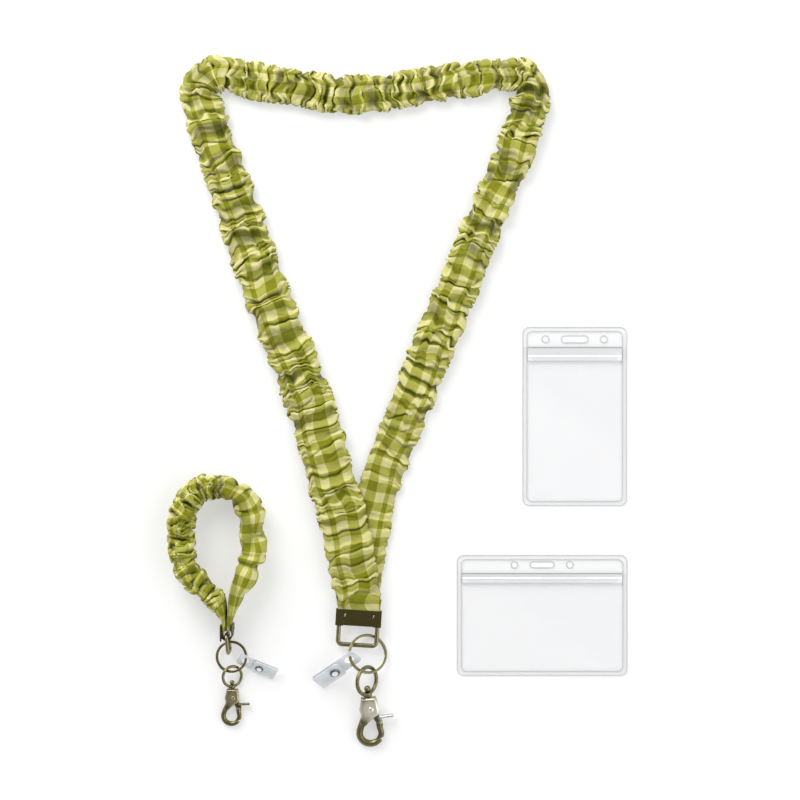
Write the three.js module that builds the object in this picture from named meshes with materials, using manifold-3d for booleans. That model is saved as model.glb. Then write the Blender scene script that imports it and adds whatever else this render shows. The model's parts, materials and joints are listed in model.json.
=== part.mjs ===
// A badge-holder lanyard set, laid out flat: a gathered fabric neck lanyard, a gathered wristlet
// standing on its edge, an upright and a landscape clear card pocket. Each strap ends in a metal
// clamp that carries a rectangular loop, a split ring, a clear vinyl clip and a swivel trigger hook.
// Millimetres, +X right, +Y towards the top of the neck loop, +Z up. The origin is the centre of the
// bottom of the whole set's bounding box.
import * as THREE from "three";
import { mergeVertices } from "three/addons/utils/BufferGeometryUtils.js";
import Module from "manifold-3d";

const wasm = await Module();
wasm.setup();

// ---- Driving dimensions ----

const GAP = 0.3; // between pieces that touch or turn against each other
const SHEET_WALL = 0.35; // a cover's flattened fabric wall, at its sewn ends
const SEWN_THICKNESS = 1.9; // of the flattened cover in the neck clamp
const GATHER_SHARE = 0.14; // wall that each millimetre of fullness adds
const ELASTIC_THICKNESS = 0.8;

// The neck strap's route from its upper end in the clamp, up the left leg, over the top and down the
// right leg to its lower end: x, y, height of the centre line, width, thickness.
const NECK_ROUTE = [
  [-25.78, -135.6, 5.5, 26, 1.9],
  [-25.4, -129.2, 5.5, 26.4, 1.9],
  [-26, -122.6, 6.9, 28, 3.8],
  [-28, -111, 8.1, 29, 5.4],
  [-30.6, -97, 8.4, 29.6, 6],
  [-36.4, -70, 8.4, 29.6, 6.2],
  [-43.1, -48.8, 7.2, 29.4, 7],
  [-52.5, -13.8, 5.2, 29, 8],
  [-65, 21.3, 4.4, 28.6, 8.6],
  [-79.4, 56.3, 4.4, 27.8, 8.6],
  [-91.9, 91.3, 4.4, 27.6, 8.6],
  [-103, 124.6, 4.4, 26.4, 8.6],
  [-115, 158.1, 4.4, 24.8, 8.6],
  [-122.2, 181, 4.4, 24.2, 8.6],
  [-124.4, 190.4, 4.4, 24, 8.6],
  [-121.6, 198.2, 4.4, 23, 8.6],
  [-114.4, 202.6, 4.4, 21.6, 8.6],
  [-104, 201.6, 4.4, 21.4, 8.6],
  [-85.2, 197.8, 4.4, 22, 8.6],
  [-60.1, 193.8, 4.4, 22, 8.6],
  [-35, 190.2, 4.4, 22, 8.6],
  [-6.3, 191.9, 4.4, 21.6, 8.6],
  [18.8, 196.4, 4.4, 21.2, 8.6],
  [44.1, 199.8, 4.4, 20.6, 8.6],
  [63, 202.6, 4.4, 19, 8.6],
  [75.2, 202, 4.4, 20, 8.6],
  [81.6, 195.4, 4.4, 22, 8.6],
  [81.2, 186.6, 4.4, 23, 8.6],
  [72.5, 158.1, 4.4, 23.6, 8.6],
  [61.6, 131.5, 4.4, 23.4, 8.6],
  [50.8, 107.8, 4.4, 23.6, 8.6],
  [35.6, 69, 4.4, 25, 8.6],
  [22.6, 38.8, 4.4, 25.4, 8.2],
  [10.6, 8, 3.8, 25.4, 7.4],
  [-1.9, -24, 3, 25, 5.8],
  [-11.3, -48.8, 2.55, 24.8, 5],
  [-16.6, -68.1, 2.5, 24.8, 4.9],
  [-21.6, -97, 2.5, 25, 4.9],
  [-24.4, -114, 2.4, 25.2, 4.2],
  [-25.1, -122.6, 2.9, 26, 2.8],
  [-25.4, -129.2, 3.3, 26.4, 1.9],
  [-25.78, -135.6, 3.3, 26, 1.9],
];
const NECK_ELASTIC_WIDTH = 16;

// The wristlet's route, from its left end in the clamp round to its right end. The strap stands on
// its edge, so its width is its height above the table.
const WRIST_ROUTE = [
  [-108.67, -142.6, 10.8, 18.4, 2.6],
  [-108.8, -137, 10.8, 18.8, 2.7],
  [-110.6, -131.4, 10.7, 20, 5.6],
  [-114.2, -124.2, 10.6, 21, 9.6],
  [-121.6, -116.6, 10.5, 21, 12],
  [-129.6, -109.2, 10.5, 21, 12.6],
  [-134.2, -99.4, 10.5, 21, 13],
  [-135.6, -84, 10.5, 21, 13.4],
  [-134.6, -70, 10.5, 21, 13.4],
  [-128.4, -59, 10.5, 21, 13],
  [-118.4, -53.8, 10.5, 21, 12.4],
  [-107, -54.4, 10.5, 21, 12],
  [-98, -60.6, 10.5, 21, 11.6],
  [-94, -72, 10.5, 21, 11.6],
  [-92.6, -86, 10.5, 21, 11.6],
  [-93.2, -98.4, 10.5, 21, 11.4],
  [-97.6, -110.4, 10.5, 21, 10.4],
  [-101.6, -121, 10.6, 21, 8],
  [-104.2, -131, 10.7, 20, 4.6],
  [-105.55, -137, 10.8, 18.8, 2.7],
  [-105.68, -142.6, 10.8, 18.4, 2.6],
];
const WRIST_ELASTIC_WIDTH = 8;

// One set of fob hardware each. Points are in the layout's plane, angles in degrees.
const NECK_HARDWARE = {
  pivot: [-25.9, -137.7, 4.4], // middle of the loop's top bar, in the clamp's roll
  clampTurn: -3.5, // the clamp's turn in the layout
  loopTurn: 0.3, // how far the loop has swung in the clamp's roll
  onEdge: false,
  clampWidth: 28.5,
  clampHeight: 10.3,
  clampSheet: 0.9,
  clampInside: 4.6,
  rollWidth: 18.4,
  loopWidth: 27.2,
  loopLength: 18.1,
  loopWire: 3,
  ringCentre: [-20.1, -158, 5.83],
  ringDiameter: 25,
  ringSlope: [-0.314, -0.282], // rise per millimetre along +X and along +Y
  eyeCentre: [-20.6, -174.4, 8.77],
  hookEnd: [-18.4, -208.1], // over the middle of the hook's opening
  hookPitch: 9.28, // how far the hook's far end points down
  eyeTilt: 47,
  hookScale: 1,
  clipHole: [-31.3, -161.27],
  clipHeading: 214.9,
  clipPitch: 15.48,
  clipRoll: -36.7,
  clipScale: 1,
};
const WRIST_HARDWARE = {
  pivot: [-107.17, -145, 10.8],
  clampTurn: 0,
  loopTurn: 5.9,
  onEdge: true,
  clampWidth: 21,
  clampHeight: 10,
  clampSheet: 0.8,
  clampInside: 6,
  rollWidth: 12.6,
  loopWidth: 20.6,
  loopLength: 13.7,
  loopWire: 2.4,
  ringCentre: [-104.9, -159.9, 4.82],
  ringDiameter: 20,
  ringSlope: [0.121, -0.042],
  eyeCentre: [-104.5, -172.2, 4.58],
  hookEnd: [-105.1, -194.4],
  hookPitch: 5.36,
  eyeTilt: 29.6,
  hookScale: 0.74,
  clipHole: [-96.11, -162.25],
  clipHeading: -23.6,
  clipPitch: 8.35,
  clipRoll: 37,
  clipScale: 0.8,
};

// Clear card pockets: middle of the outline, outer size, card window margins and header.
const UPRIGHT_POCKET = {
  centre: [109.15, -10.2],
  width: 65.5,
  height: 112,
  windowSide: 2.6,
  windowFoot: 2.6,
  mouth: 12.6, // from the top edge down to the front sheet's lip
  zipDrop: [4.8, 9.2], // from the lip down to each zip line
  slot: [16.7, 4.4],
  slotDrop: 7.8, // from the top edge down to the slot's middle
  holeDiameter: 3.6,
  holeSpan: 36.4,
};
const LANDSCAPE_POCKET = {
  centre: [88.85, -134.5],
  width: 106.7,
  height: 75.6,
  windowSide: 2.6,
  windowFoot: 2.6,
  mouth: 11.2,
  zipDrop: [2.4, 6.8],
  slot: [15, 3.8],
  slotDrop: 6.2,
  holeDiameter: 3.4,
  holeSpan: 34.6,
};
const POCKET_CORNER = 4.4;
const POCKET_SHEET = 0.45;
const POCKET_DEPTH = 1.5; // room for the card and the zip
const POCKET_WELD_GAP = 0.25;

// ---- Materials ----

const finish = (color, roughness, metalness, extra = {}) =>
  new THREE.MeshStandardMaterial({ color, roughness, metalness, ...extra });
const FABRIC = () => finish(0x8f9f3a, 0.9, 0);
const ELASTIC = () => finish(0xf2efe6, 0.85, 0);
const BRONZE = () => finish(0x6f5f3a, 0.4, 1);
const BRONZE_BRIGHT = () => finish(0xa79a72, 0.3, 1);
const NICKEL = () => finish(0xc9c9c4, 0.25, 1);
const SPRING_STEEL = () => finish(0x9a9a96, 0.35, 1);
const VINYL = () => finish(0xdfe6ea, 0.12, 0, { transparent: true, opacity: 0.45 });
const POCKET_VINYL = () => finish(0xf1f3f4, 0.15, 0, { transparent: true, opacity: 0.35 });

// ---- Shape helpers ----

const V = (x, y, z = 0) => new THREE.Vector3(x, y, z);
const radians = THREE.MathUtils.degToRad;
const polar = (radius, degrees, centre = V(0, 0)) =>
  V(Math.cos(radians(degrees)), Math.sin(radians(degrees))).multiplyScalar(radius).add(centre);

function solidOf(geometry) {
  const bare = geometry.clone();
  bare.deleteAttribute("normal");
  bare.deleteAttribute("uv");
  const merged = mergeVertices(bare, 1e-4);
  return new wasm.Manifold(
    new wasm.Mesh({
      numProp: 3,
      vertProperties: new Float32Array(merged.attributes.position.array),
      triVerts: new Uint32Array(merged.index.array),
    }),
  );
}

function geometryOf(solid) {
  const made = solid.getMesh();
  const geometry = new THREE.BufferGeometry();
  geometry.setAttribute("position", new THREE.BufferAttribute(made.vertProperties, 3));
  geometry.setIndex(new THREE.BufferAttribute(made.triVerts, 1));
  geometry.computeVertexNormals();
  return geometry;
}

const cut = (geometry, ...tools) =>
  geometryOf(tools.reduce((left, tool) => left.subtract(solidOf(tool)), solidOf(geometry)));
const join = (geometry, ...others) =>
  geometryOf(others.reduce((sum, other) => sum.add(solidOf(other)), solidOf(geometry)));

// Skins a row of sections with the same number of points. A closed row joins its last section to
// its first; an open one gets a flat cap at each end.
function loft(sections, closed) {
  const sides = sections[0].length;
  const points = sections.flat();
  const faces = [];
  const rows = closed ? sections.length : sections.length - 1;
  for (let row = 0; row < rows; row++) {
    const next = (row + 1) % sections.length;
    for (let side = 0; side < sides; side++) {
      const a = row * sides + side;
      const b = row * sides + ((side + 1) % sides);
      const c = next * sides + side;
      const d = next * sides + ((side + 1) % sides);
      faces.push(a, b, d, a, d, c);
    }
  }
  if (!closed) {
    for (const [start, flip] of [[0, true], [(sections.length - 1) * sides, false]]) {
      for (let side = 1; side < sides - 1; side++) {
        const [p, q] = flip ? [side + 1, side] : [side, side + 1];
        faces.push(start, start + p, start + q);
      }
    }
  }
  const geometry = new THREE.BufferGeometry().setFromPoints(points);
  geometry.setIndex(signedVolume(points, faces) < 0 ? faces.reverse() : faces);
  geometry.computeVertexNormals();
  return geometry;
}

function signedVolume(points, faces) {
  let sum = 0;
  for (let i = 0; i < faces.length; i += 3) {
    const [a, b, c] = [points[faces[i]], points[faces[i + 1]], points[faces[i + 2]]];
    sum += a.dot(b.clone().cross(c));
  }
  return sum / 6;
}

// A tube along points in the XY plane. Its section is an ellipse of the given half sizes.
function planarTube(path, halfAcross, halfUp, sides, closed = false) {
  const sections = path.map((point, i) => {
    const count = path.length;
    const before = closed ? path[(i + count - 1) % count] : path[Math.max(i - 1, 0)];
    const after = closed ? path[(i + 1) % count] : path[Math.min(i + 1, count - 1)];
    const along = after.clone().sub(before).normalize();
    const across = V(-along.y, along.x);
    return Array.from({ length: sides }, (_, side) => {
      const angle = (2 * Math.PI * (side + 0.5)) / sides;
      return point
        .clone()
        .addScaledVector(across, Math.cos(angle) * halfAcross)
        .add(V(0, 0, Math.sin(angle) * halfUp));
    });
  });
  return loft(sections, closed);
}

function plate(outline, low, high, bevel = 0) {
  const shape = outline instanceof THREE.Shape ? outline : new THREE.Shape(outline);
  const geometry = new THREE.ExtrudeGeometry(shape, {
    depth: high - low - 2 * bevel,
    curveSegments: 6,
    bevelEnabled: bevel > 0,
    bevelThickness: bevel,
    bevelSize: bevel,
    bevelOffset: -bevel,
    bevelSegments: 1,
  });
  return geometry.translate(0, 0, low + bevel);
}

function roundedRect(width, height, radius, centre = V(0, 0)) {
  const shape = new THREE.Shape();
  const x = width / 2 - radius;
  const y = height / 2 - radius;
  shape.absarc(centre.x + x, centre.y + y, radius, 0, Math.PI / 2);
  shape.absarc(centre.x - x, centre.y + y, radius, Math.PI / 2, Math.PI);
  shape.absarc(centre.x - x, centre.y - y, radius, Math.PI, 1.5 * Math.PI);
  shape.absarc(centre.x + x, centre.y - y, radius, 1.5 * Math.PI, 2 * Math.PI);
  return shape;
}

// A round bar along Z between two heights.
const bar = (radius, low, high, sides = 14, centre = V(0, 0)) =>
  new THREE.CylinderGeometry(radius, radius, high - low, sides)
    .rotateX(Math.PI / 2)
    .translate(centre.x, centre.y, (low + high) / 2);

// A turned piece about Z from a profile of [radius, height] points.
const turned = (profile, sides = 14) =>
  new THREE.LatheGeometry(profile.map(([r, z]) => new THREE.Vector2(r, z)), sides).rotateX(Math.PI / 2);

// ---- Scene graph ----

const set = new THREE.Group();
set.name = "lanyard_set";

function addPiece(parent, name, geometry, material) {
  const mesh = new THREE.Mesh(geometry, material);
  mesh.name = name;
  parent.add(mesh);
  return mesh;
}

// A group at an origin with its Y axis along one direction and its Z axis close to another.
function addFrame(name, origin, along, up) {
  const y = along.clone().normalize();
  const x = y.clone().cross(up).normalize();
  const frame = new THREE.Group();
  frame.name = name;
  frame.applyMatrix4(new THREE.Matrix4().makeBasis(x, y, x.clone().cross(y)).setPosition(origin));
  set.add(frame);
  return frame;
}

// ---- Straps ----

const STATIONS_PER_POINT = 1.5;
const COVER_SIDES = 10;
const COVER_SQUARENESS = 0.65; // below 1, the oval section fills out towards a rectangle

// Cuts the route into stations: a point, the directions of the width and the thickness, and sizes.
function stationsAlong(route, onEdge) {
  const curve = new THREE.CatmullRomCurve3(route.map(([x, y, z]) => V(x, y, z)), false, "centripetal");
  const sizes = new THREE.CatmullRomCurve3(
    route.map((row) => V(row[3], row[4])), false, "catmullrom", 0.3);
  const count = Math.round((route.length - 1) * STATIONS_PER_POINT);
  return Array.from({ length: count + 1 }, (_, i) => {
    const t = i / count;
    const along = curve.getTangent(t).setZ(0).normalize();
    const level = V(-along.y, along.x);
    const up = V(0, 0, 1);
    const size = sizes.getPoint(t);
    return {
      point: curve.getPoint(t),
      across: onEdge ? up : level,
      through: onEdge ? level : up,
      width: size.x,
      thickness: size.y,
    };
  });
}

function ovalSection({ point, across, through }, width, thickness, sides) {
  return Array.from({ length: sides }, (_, side) => {
    const angle = (2 * Math.PI * side) / sides;
    const power = (value) => Math.sign(value) * Math.abs(value) ** COVER_SQUARENESS;
    return point
      .clone()
      .addScaledVector(across, (power(Math.cos(angle)) * width) / 2)
      .addScaledVector(through, (power(Math.sin(angle)) * thickness) / 2);
  });
}

// The gathered tube of cloth: an outer skin and an inner channel, open at both ends. The gathers
// make it thicker where the strap is full.
function coverGeometry(stations) {
  const wallAt = (thickness) => SHEET_WALL + GATHER_SHARE * (thickness - SEWN_THICKNESS);
  const outer = stations.map((at) => ovalSection(at, at.width, at.thickness, COVER_SIDES));
  const inner = stations.map((at) => {
    const wall = 2 * wallAt(at.thickness);
    return ovalSection(at, at.width - wall, at.thickness - wall, COVER_SIDES);
  });
  return loft([...outer, ...inner.reverse()], true);
}

function elasticGeometry(stations, width) {
  const corners = [[1, 1], [-1, 1], [-1, -1], [1, -1]];
  const sections = stations.map(({ point, across, through }) =>
    corners.map(([a, b]) =>
      point
        .clone()
        .addScaledVector(across, (a * width) / 2)
        .addScaledVector(through, (b * ELASTIC_THICKNESS) / 2),
    ),
  );
  return loft(sections, false);
}

function addStrap(prefix, route, onEdge, elasticWidth) {
  const stations = stationsAlong(route, onEdge);
  addPiece(set, prefix + "_cover", coverGeometry(stations), FABRIC());
  addPiece(set, prefix + "_elastic", elasticGeometry(stations, elasticWidth), ELASTIC());
}

// ---- Strap clamp and rectangular loop ----

// Local frame: X along the loop's top bar, +Y towards the strap, the bar's axis at the origin.
function clampGeometry(h) {
  const inner = h.clampInside / 2;
  const outer = inner + h.clampSheet;
  const top = h.clampHeight - outer;
  const steps = 8;
  const arc = (radius, from, to) =>
    Array.from({ length: steps + 1 }, (_, i) => polar(radius, from + ((to - from) * i) / steps));
  // The folded profile, with its plates along Y and its roll round the bar.
  const profile = [V(-outer, top), ...arc(outer, 180, 360), V(outer, top), V(inner, top),
    ...arc(inner, 360, 180), V(-inner, top)];
  const folded = plate(profile, -h.clampWidth / 2, h.clampWidth / 2).rotateY(Math.PI / 2);
  const endLength = (h.clampWidth - h.rollWidth) / 2;
  const cornerRoom = [-1, 1].map((side) =>
    new THREE.BoxGeometry(endLength + 1, 3 * outer, 3 * outer).translate(
      side * ((h.rollWidth + endLength + 1) / 2),
      h.loopWire / 2 + GAP - 1.5 * outer,
      0,
    ),
  );
  // Triangular windows where the clamp's teeth are punched in through the front plate.
  const teeth = [-1, 1].map((side) => {
    const x = side * 0.31 * h.clampWidth;
    const y = top - 3.6;
    return plate([V(x - 1.5, y - 1), V(x + 1.5, y - 1), V(x, y + 1.4)], inner - 0.5, outer + 0.5);
  });
  // The front plate reaches down over the loop's corners on each side of the roll.
  const aprons = [-1, 1].map((side) =>
    new THREE.BoxGeometry(endLength, top / 2 + outer, h.clampSheet).translate(
      side * ((h.rollWidth + endLength) / 2),
      (top / 2 - outer) / 2,
      inner + h.clampSheet / 2,
    ),
  );
  return cut(join(cut(folded, ...cornerRoom), ...aprons), ...teeth);
}

const LOOP_CORNER = 2.6;
function loopPath(h) {
  const halfWidth = (h.loopWidth - h.loopWire) / 2 - LOOP_CORNER;
  const length = h.loopLength - h.loopWire;
  const corners = [
    [halfWidth, -LOOP_CORNER, 90],
    [halfWidth, LOOP_CORNER - length, 0],
    [-halfWidth, LOOP_CORNER - length, -90],
    [-halfWidth, -LOOP_CORNER, -180],
  ];
  return corners.flatMap(([x, y, from]) =>
    [0, 30, 60, 90].map((turn) => polar(LOOP_CORNER, from - turn, V(x, y))),
  );
}

// ---- Split ring ----

const RING_WIRE = { across: 1.4, height: 0.8, spacing: 1 };
const RING_TURN = 675; // two turns less the space for the crossover
const CROSSOVER = { from: 320, to: 360 };

function splitRingGeometry(diameter) {
  const radius = (diameter - RING_WIRE.across) / 2;
  const step = 15;
  const angles = Array.from({ length: RING_TURN / step + 1 }, (_, i) => i * step);
  const sections = angles.map((angle) => {
    const climb = THREE.MathUtils.smoothstep(angle, CROSSOVER.from, CROSSOVER.to) - 0.5;
    const corners = [[1, 1], [-1, 1], [-1, -1], [1, -1]];
    return corners.map(([a, b]) =>
      polar(radius + (a * RING_WIRE.across) / 2, angle)
        .setZ(climb * RING_WIRE.spacing + (b * RING_WIRE.height) / 2),
    );
  });
  return loft(sections, false);
}

// ---- Swivel eye, post, hook, trigger ----

// Local frame of the hook: origin at the middle of the eye, the hook towards -Y, flat in XY.
const HOOK = {
  eyeRadius: 8.65,
  eyeWire: 1.35,
  bossRadius: 2.8,
  bossTop: -7.2,
  bossFoot: -10.2,
  shankRadius: 1.1,
  headRadius: 2.2,
  bodyTop: -10.6,
  bodyHalfHeight: 3.2,
  pin: [1.4, -18],
  pinRadius: 1.1,
  openingCentre: -33.7,
  openingRadius: 6.78,
  section: 2.25,
  slotHalfHeight: 1.5,
  tongueHalfHeight: 1.1,
  gateReach: 19.6,
};

function eyeGeometry() {
  const ring = new THREE.TorusGeometry(HOOK.eyeRadius, HOOK.eyeWire, 8, 26);
  const boss = bar(HOOK.bossRadius, HOOK.bossFoot, HOOK.bossTop, 12).rotateX(-Math.PI / 2);
  const bore = bar(HOOK.shankRadius + GAP, HOOK.bossFoot - 1, HOOK.bossTop + 1, 10).rotateX(-Math.PI / 2);
  return cut(join(ring, boss), bore);
}

// The post's ball head sits inside the eye, and its shank goes down into the hook's body.
function postGeometry() {
  const { shankRadius, headRadius, bossTop, bodyTop } = HOOK;
  const headFoot = bossTop + GAP;
  const foot = bodyTop - 2;
  const dome = Array.from({ length: 6 }, (_, i) => {
    const angle = radians(-50 + (140 * i) / 5);
    return [Math.abs(Math.cos(angle)) * headRadius, headFoot + 1.7 + Math.sin(angle) * headRadius];
  });
  dome[5][0] = 0;
  return turned([[0, foot], [shankRadius, foot], [shankRadius, headFoot], ...dome], 12)
    .rotateX(-Math.PI / 2);
}

function arcPoints(from, to, step) {
  const count = Math.round(Math.abs(to - from) / step);
  return Array.from({ length: count + 1 }, (_, i) =>
    polar(HOOK.openingRadius, from + ((to - from) * i) / count, V(0, HOOK.openingCentre)));
}

function hookBodyGeometry() {
  const high = HOOK.bodyHalfHeight;
  const [pinX, pinY] = HOOK.pin;
  const outline = [
    V(-4.4, HOOK.bodyTop), V(4.9, HOOK.bodyTop), V(5.7, -13.4), V(6.2, -17), V(6.6, -20.4),
    V(5.2, -22.2), V(1.2, -24.6), V(-0.9, -26.6), V(-2.4, -28.4), V(-6, -28.4), V(-6.2, -25.8),
    V(-5.1, -22.8), V(-5.2, -20.6), V(-5.9, -18.2), V(-5.3, -15.4), V(-4.6, -13),
  ].reverse();
  const block = plate(outline, -high, high, 1);
  const hookCurve = new THREE.CatmullRomCurve3([
    V(-2.3, -19.5), V(-3.2, -23.4), V(-4.9, -27.6), ...arcPoints(165, 325, 20),
  ]);
  const armTube = planarTube(hookCurve.getSpacedPoints(17), HOOK.section, HOOK.section, 8);
  // The tip is cut along the arc that the gate's end sweeps, so that the gate can pass inside it.
  const sweep = solidOf(bar(HOOK.gateReach + GAP, -9, 9, 72, V(pinX, pinY)))
    .intersect(solidOf(new THREE.BoxGeometry(20, 20, 18).translate(8, -38, 0)));
  const arm = cut(armTube, geometryOf(sweep));
  const slotOutline = [
    V(-2.4, -13.7), V(4.7, -13.7), V(5, -17), V(9, -19), V(9, -30), V(-0.2, -30), V(-1.6, -20),
  ].reverse();
  const slot = plate(slotOutline, -HOOK.slotHalfHeight, HOOK.slotHalfHeight);
  const pinHole = bar(HOOK.pinRadius + GAP, -high - 1, high + 1, 12, V(pinX, pinY));
  const shankHole = new THREE.CylinderGeometry(HOOK.shankRadius + GAP, HOOK.shankRadius + GAP, 5, 10)
    .translate(0, HOOK.bodyTop, 0);
  return cut(join(block, arm), slot, pinHole, shankHole);
}

function triggerGeometry() {
  const [pinX, pinY] = HOOK.pin;
  const tongueOutline = [
    V(pinX - 1.9, pinY), V(pinX - 0.6, pinY + 3.2), V(pinX + 1.1, pinY + 3.2), V(pinX + 1.1, pinY + 1.9),
    V(pinX + 2, pinY + 0.9), V(5.4, -20.4), V(8.4, -25.4), V(8.2, -29.6), V(5.2, -29), V(2.8, -25),
  ].reverse();
  const tongue = plate(tongueOutline, -HOOK.tongueHalfHeight, HOOK.tongueHalfHeight);
  const gateCurve = new THREE.CatmullRomCurve3([V(5.7, -26.6), ...arcPoints(26, -51, 15.4)]);
  const gate = planarTube(gateCurve.getSpacedPoints(8), 2, HOOK.section - 0.1, 8);
  const reach = bar(HOOK.gateReach, -9, 9, 72, V(pinX, pinY));
  const lever = plate(
    [V(5.6, -22.9), V(5.9, -24.4), V(15, -24), V(15.5, -23.1), V(14.6, -22.3)].reverse(), -1.9, 1.9, 0.4);
  const pinHole = bar(HOOK.pinRadius + GAP, -4, 4, 12, V(pinX, pinY));
  const blank = solidOf(join(tongue, gate, lever)).intersect(solidOf(reach));
  return cut(geometryOf(blank), pinHole);
}

function pinGeometry() {
  const { pinRadius, bodyHalfHeight: high } = HOOK;
  const head = pinRadius + 0.9;
  return turned([
    [0, -high - 0.8], [head * 0.7, -high - 0.7], [head, -high - GAP], [pinRadius, -high - GAP],
    [pinRadius, high + GAP], [head, high + GAP], [head * 0.7, high + 0.7], [0, high + 0.8],
  ], 12).translate(...HOOK.pin, 0);
}

// A short coil that pushes the trigger's heel back, so that the gate closes by itself.
function springGeometry() {
  const turns = 3;
  const stepsPerTurn = 9;
  const length = 1.5;
  const coilRadius = 0.85;
  const wire = 0.2;
  const steps = turns * stepsPerTurn;
  const sections = Array.from({ length: steps + 1 }, (_, i) => {
    const angle = (360 * i) / stepsPerTurn;
    const x = (length * i) / steps;
    return [[1, -1], [1, 1], [-1, 1], [-1, -1]].map(([a, b]) => {
      const rim = polar(coilRadius + a * wire, angle);
      return V(x + b * wire, rim.x, rim.y);
    });
  });
  return loft(sections, false).translate(2.9, -15.1, 0);
}

// ---- Clear vinyl clip ----

// Local frame: origin at the ring hole, the strap along +X, +Z on the flap's side.
const CLIP = {
  width: 11.5,
  sheet: 0.8,
  fold: 24.7,
  tail: 6,
  ringHole: 3.2,
  snapAt: 12.1,
  flapEnd: 6.4,
  foldRadius: 1,
  snapHole: 1.5,
  snapPost: 1.2,
  capRadius: 3.3,
};

function clipStrapGeometry() {
  const foot = CLIP.fold - 1.5;
  const outline = roundedRect(foot + CLIP.tail, CLIP.width, 2, V((foot - CLIP.tail) / 2, 0));
  return cut(
    plate(outline, -CLIP.sheet / 2, CLIP.sheet / 2),
    bar(CLIP.ringHole, -1, 1, 16),
    bar(CLIP.snapHole, -1, 1, 10, V(CLIP.snapAt, 0)),
  );
}

// The flap turns over at the fold and lies back over the strap, towards the ring hole.
function clipFlapGeometry() {
  const half = CLIP.sheet / 2;
  const foldCentre = V(CLIP.fold, CLIP.foldRadius);
  const bend = (radius, from, to) =>
    Array.from({ length: 5 }, (_, i) => polar(radius, from + ((to - from) * i) / 4, foldCentre));
  const profile = [
    ...bend(CLIP.foldRadius + half, -90, 90),
    V(CLIP.flapEnd, 2 * CLIP.foldRadius + half),
    V(CLIP.flapEnd, 2 * CLIP.foldRadius - half),
    ...bend(CLIP.foldRadius - half, 90, -90),
  ];
  const strip = plate(profile, -CLIP.width / 2, CLIP.width / 2).rotateX(Math.PI / 2);
  return cut(strip, bar(CLIP.snapHole, 1, 3, 10, V(CLIP.snapAt, 0)));
}

function snapCapGeometry() {
  const seat = 2 * CLIP.foldRadius + CLIP.sheet / 2 + GAP / 2;
  const r = CLIP.capRadius;
  return turned([
    [0, seat - 0.9], [CLIP.snapPost, seat - 0.9], [CLIP.snapPost, seat], [r, seat],
    [r, seat + 0.4], [r * 0.8, seat + 0.9], [r * 0.4, seat + 1.15], [0, seat + 1.2],
  ], 14).translate(CLIP.snapAt, 0, 0);
}

function snapStudGeometry() {
  const seat = -CLIP.sheet / 2 - GAP / 2;
  const r = CLIP.capRadius * 0.85;
  return turned([
    [0, seat - 0.5], [r, seat - 0.4], [r, seat], [CLIP.snapPost, seat],
    [CLIP.snapPost, 1.15], [0, 1.15],
  ], 14).translate(CLIP.snapAt, 0, 0);
}

// ---- One set of fob hardware ----

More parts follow.
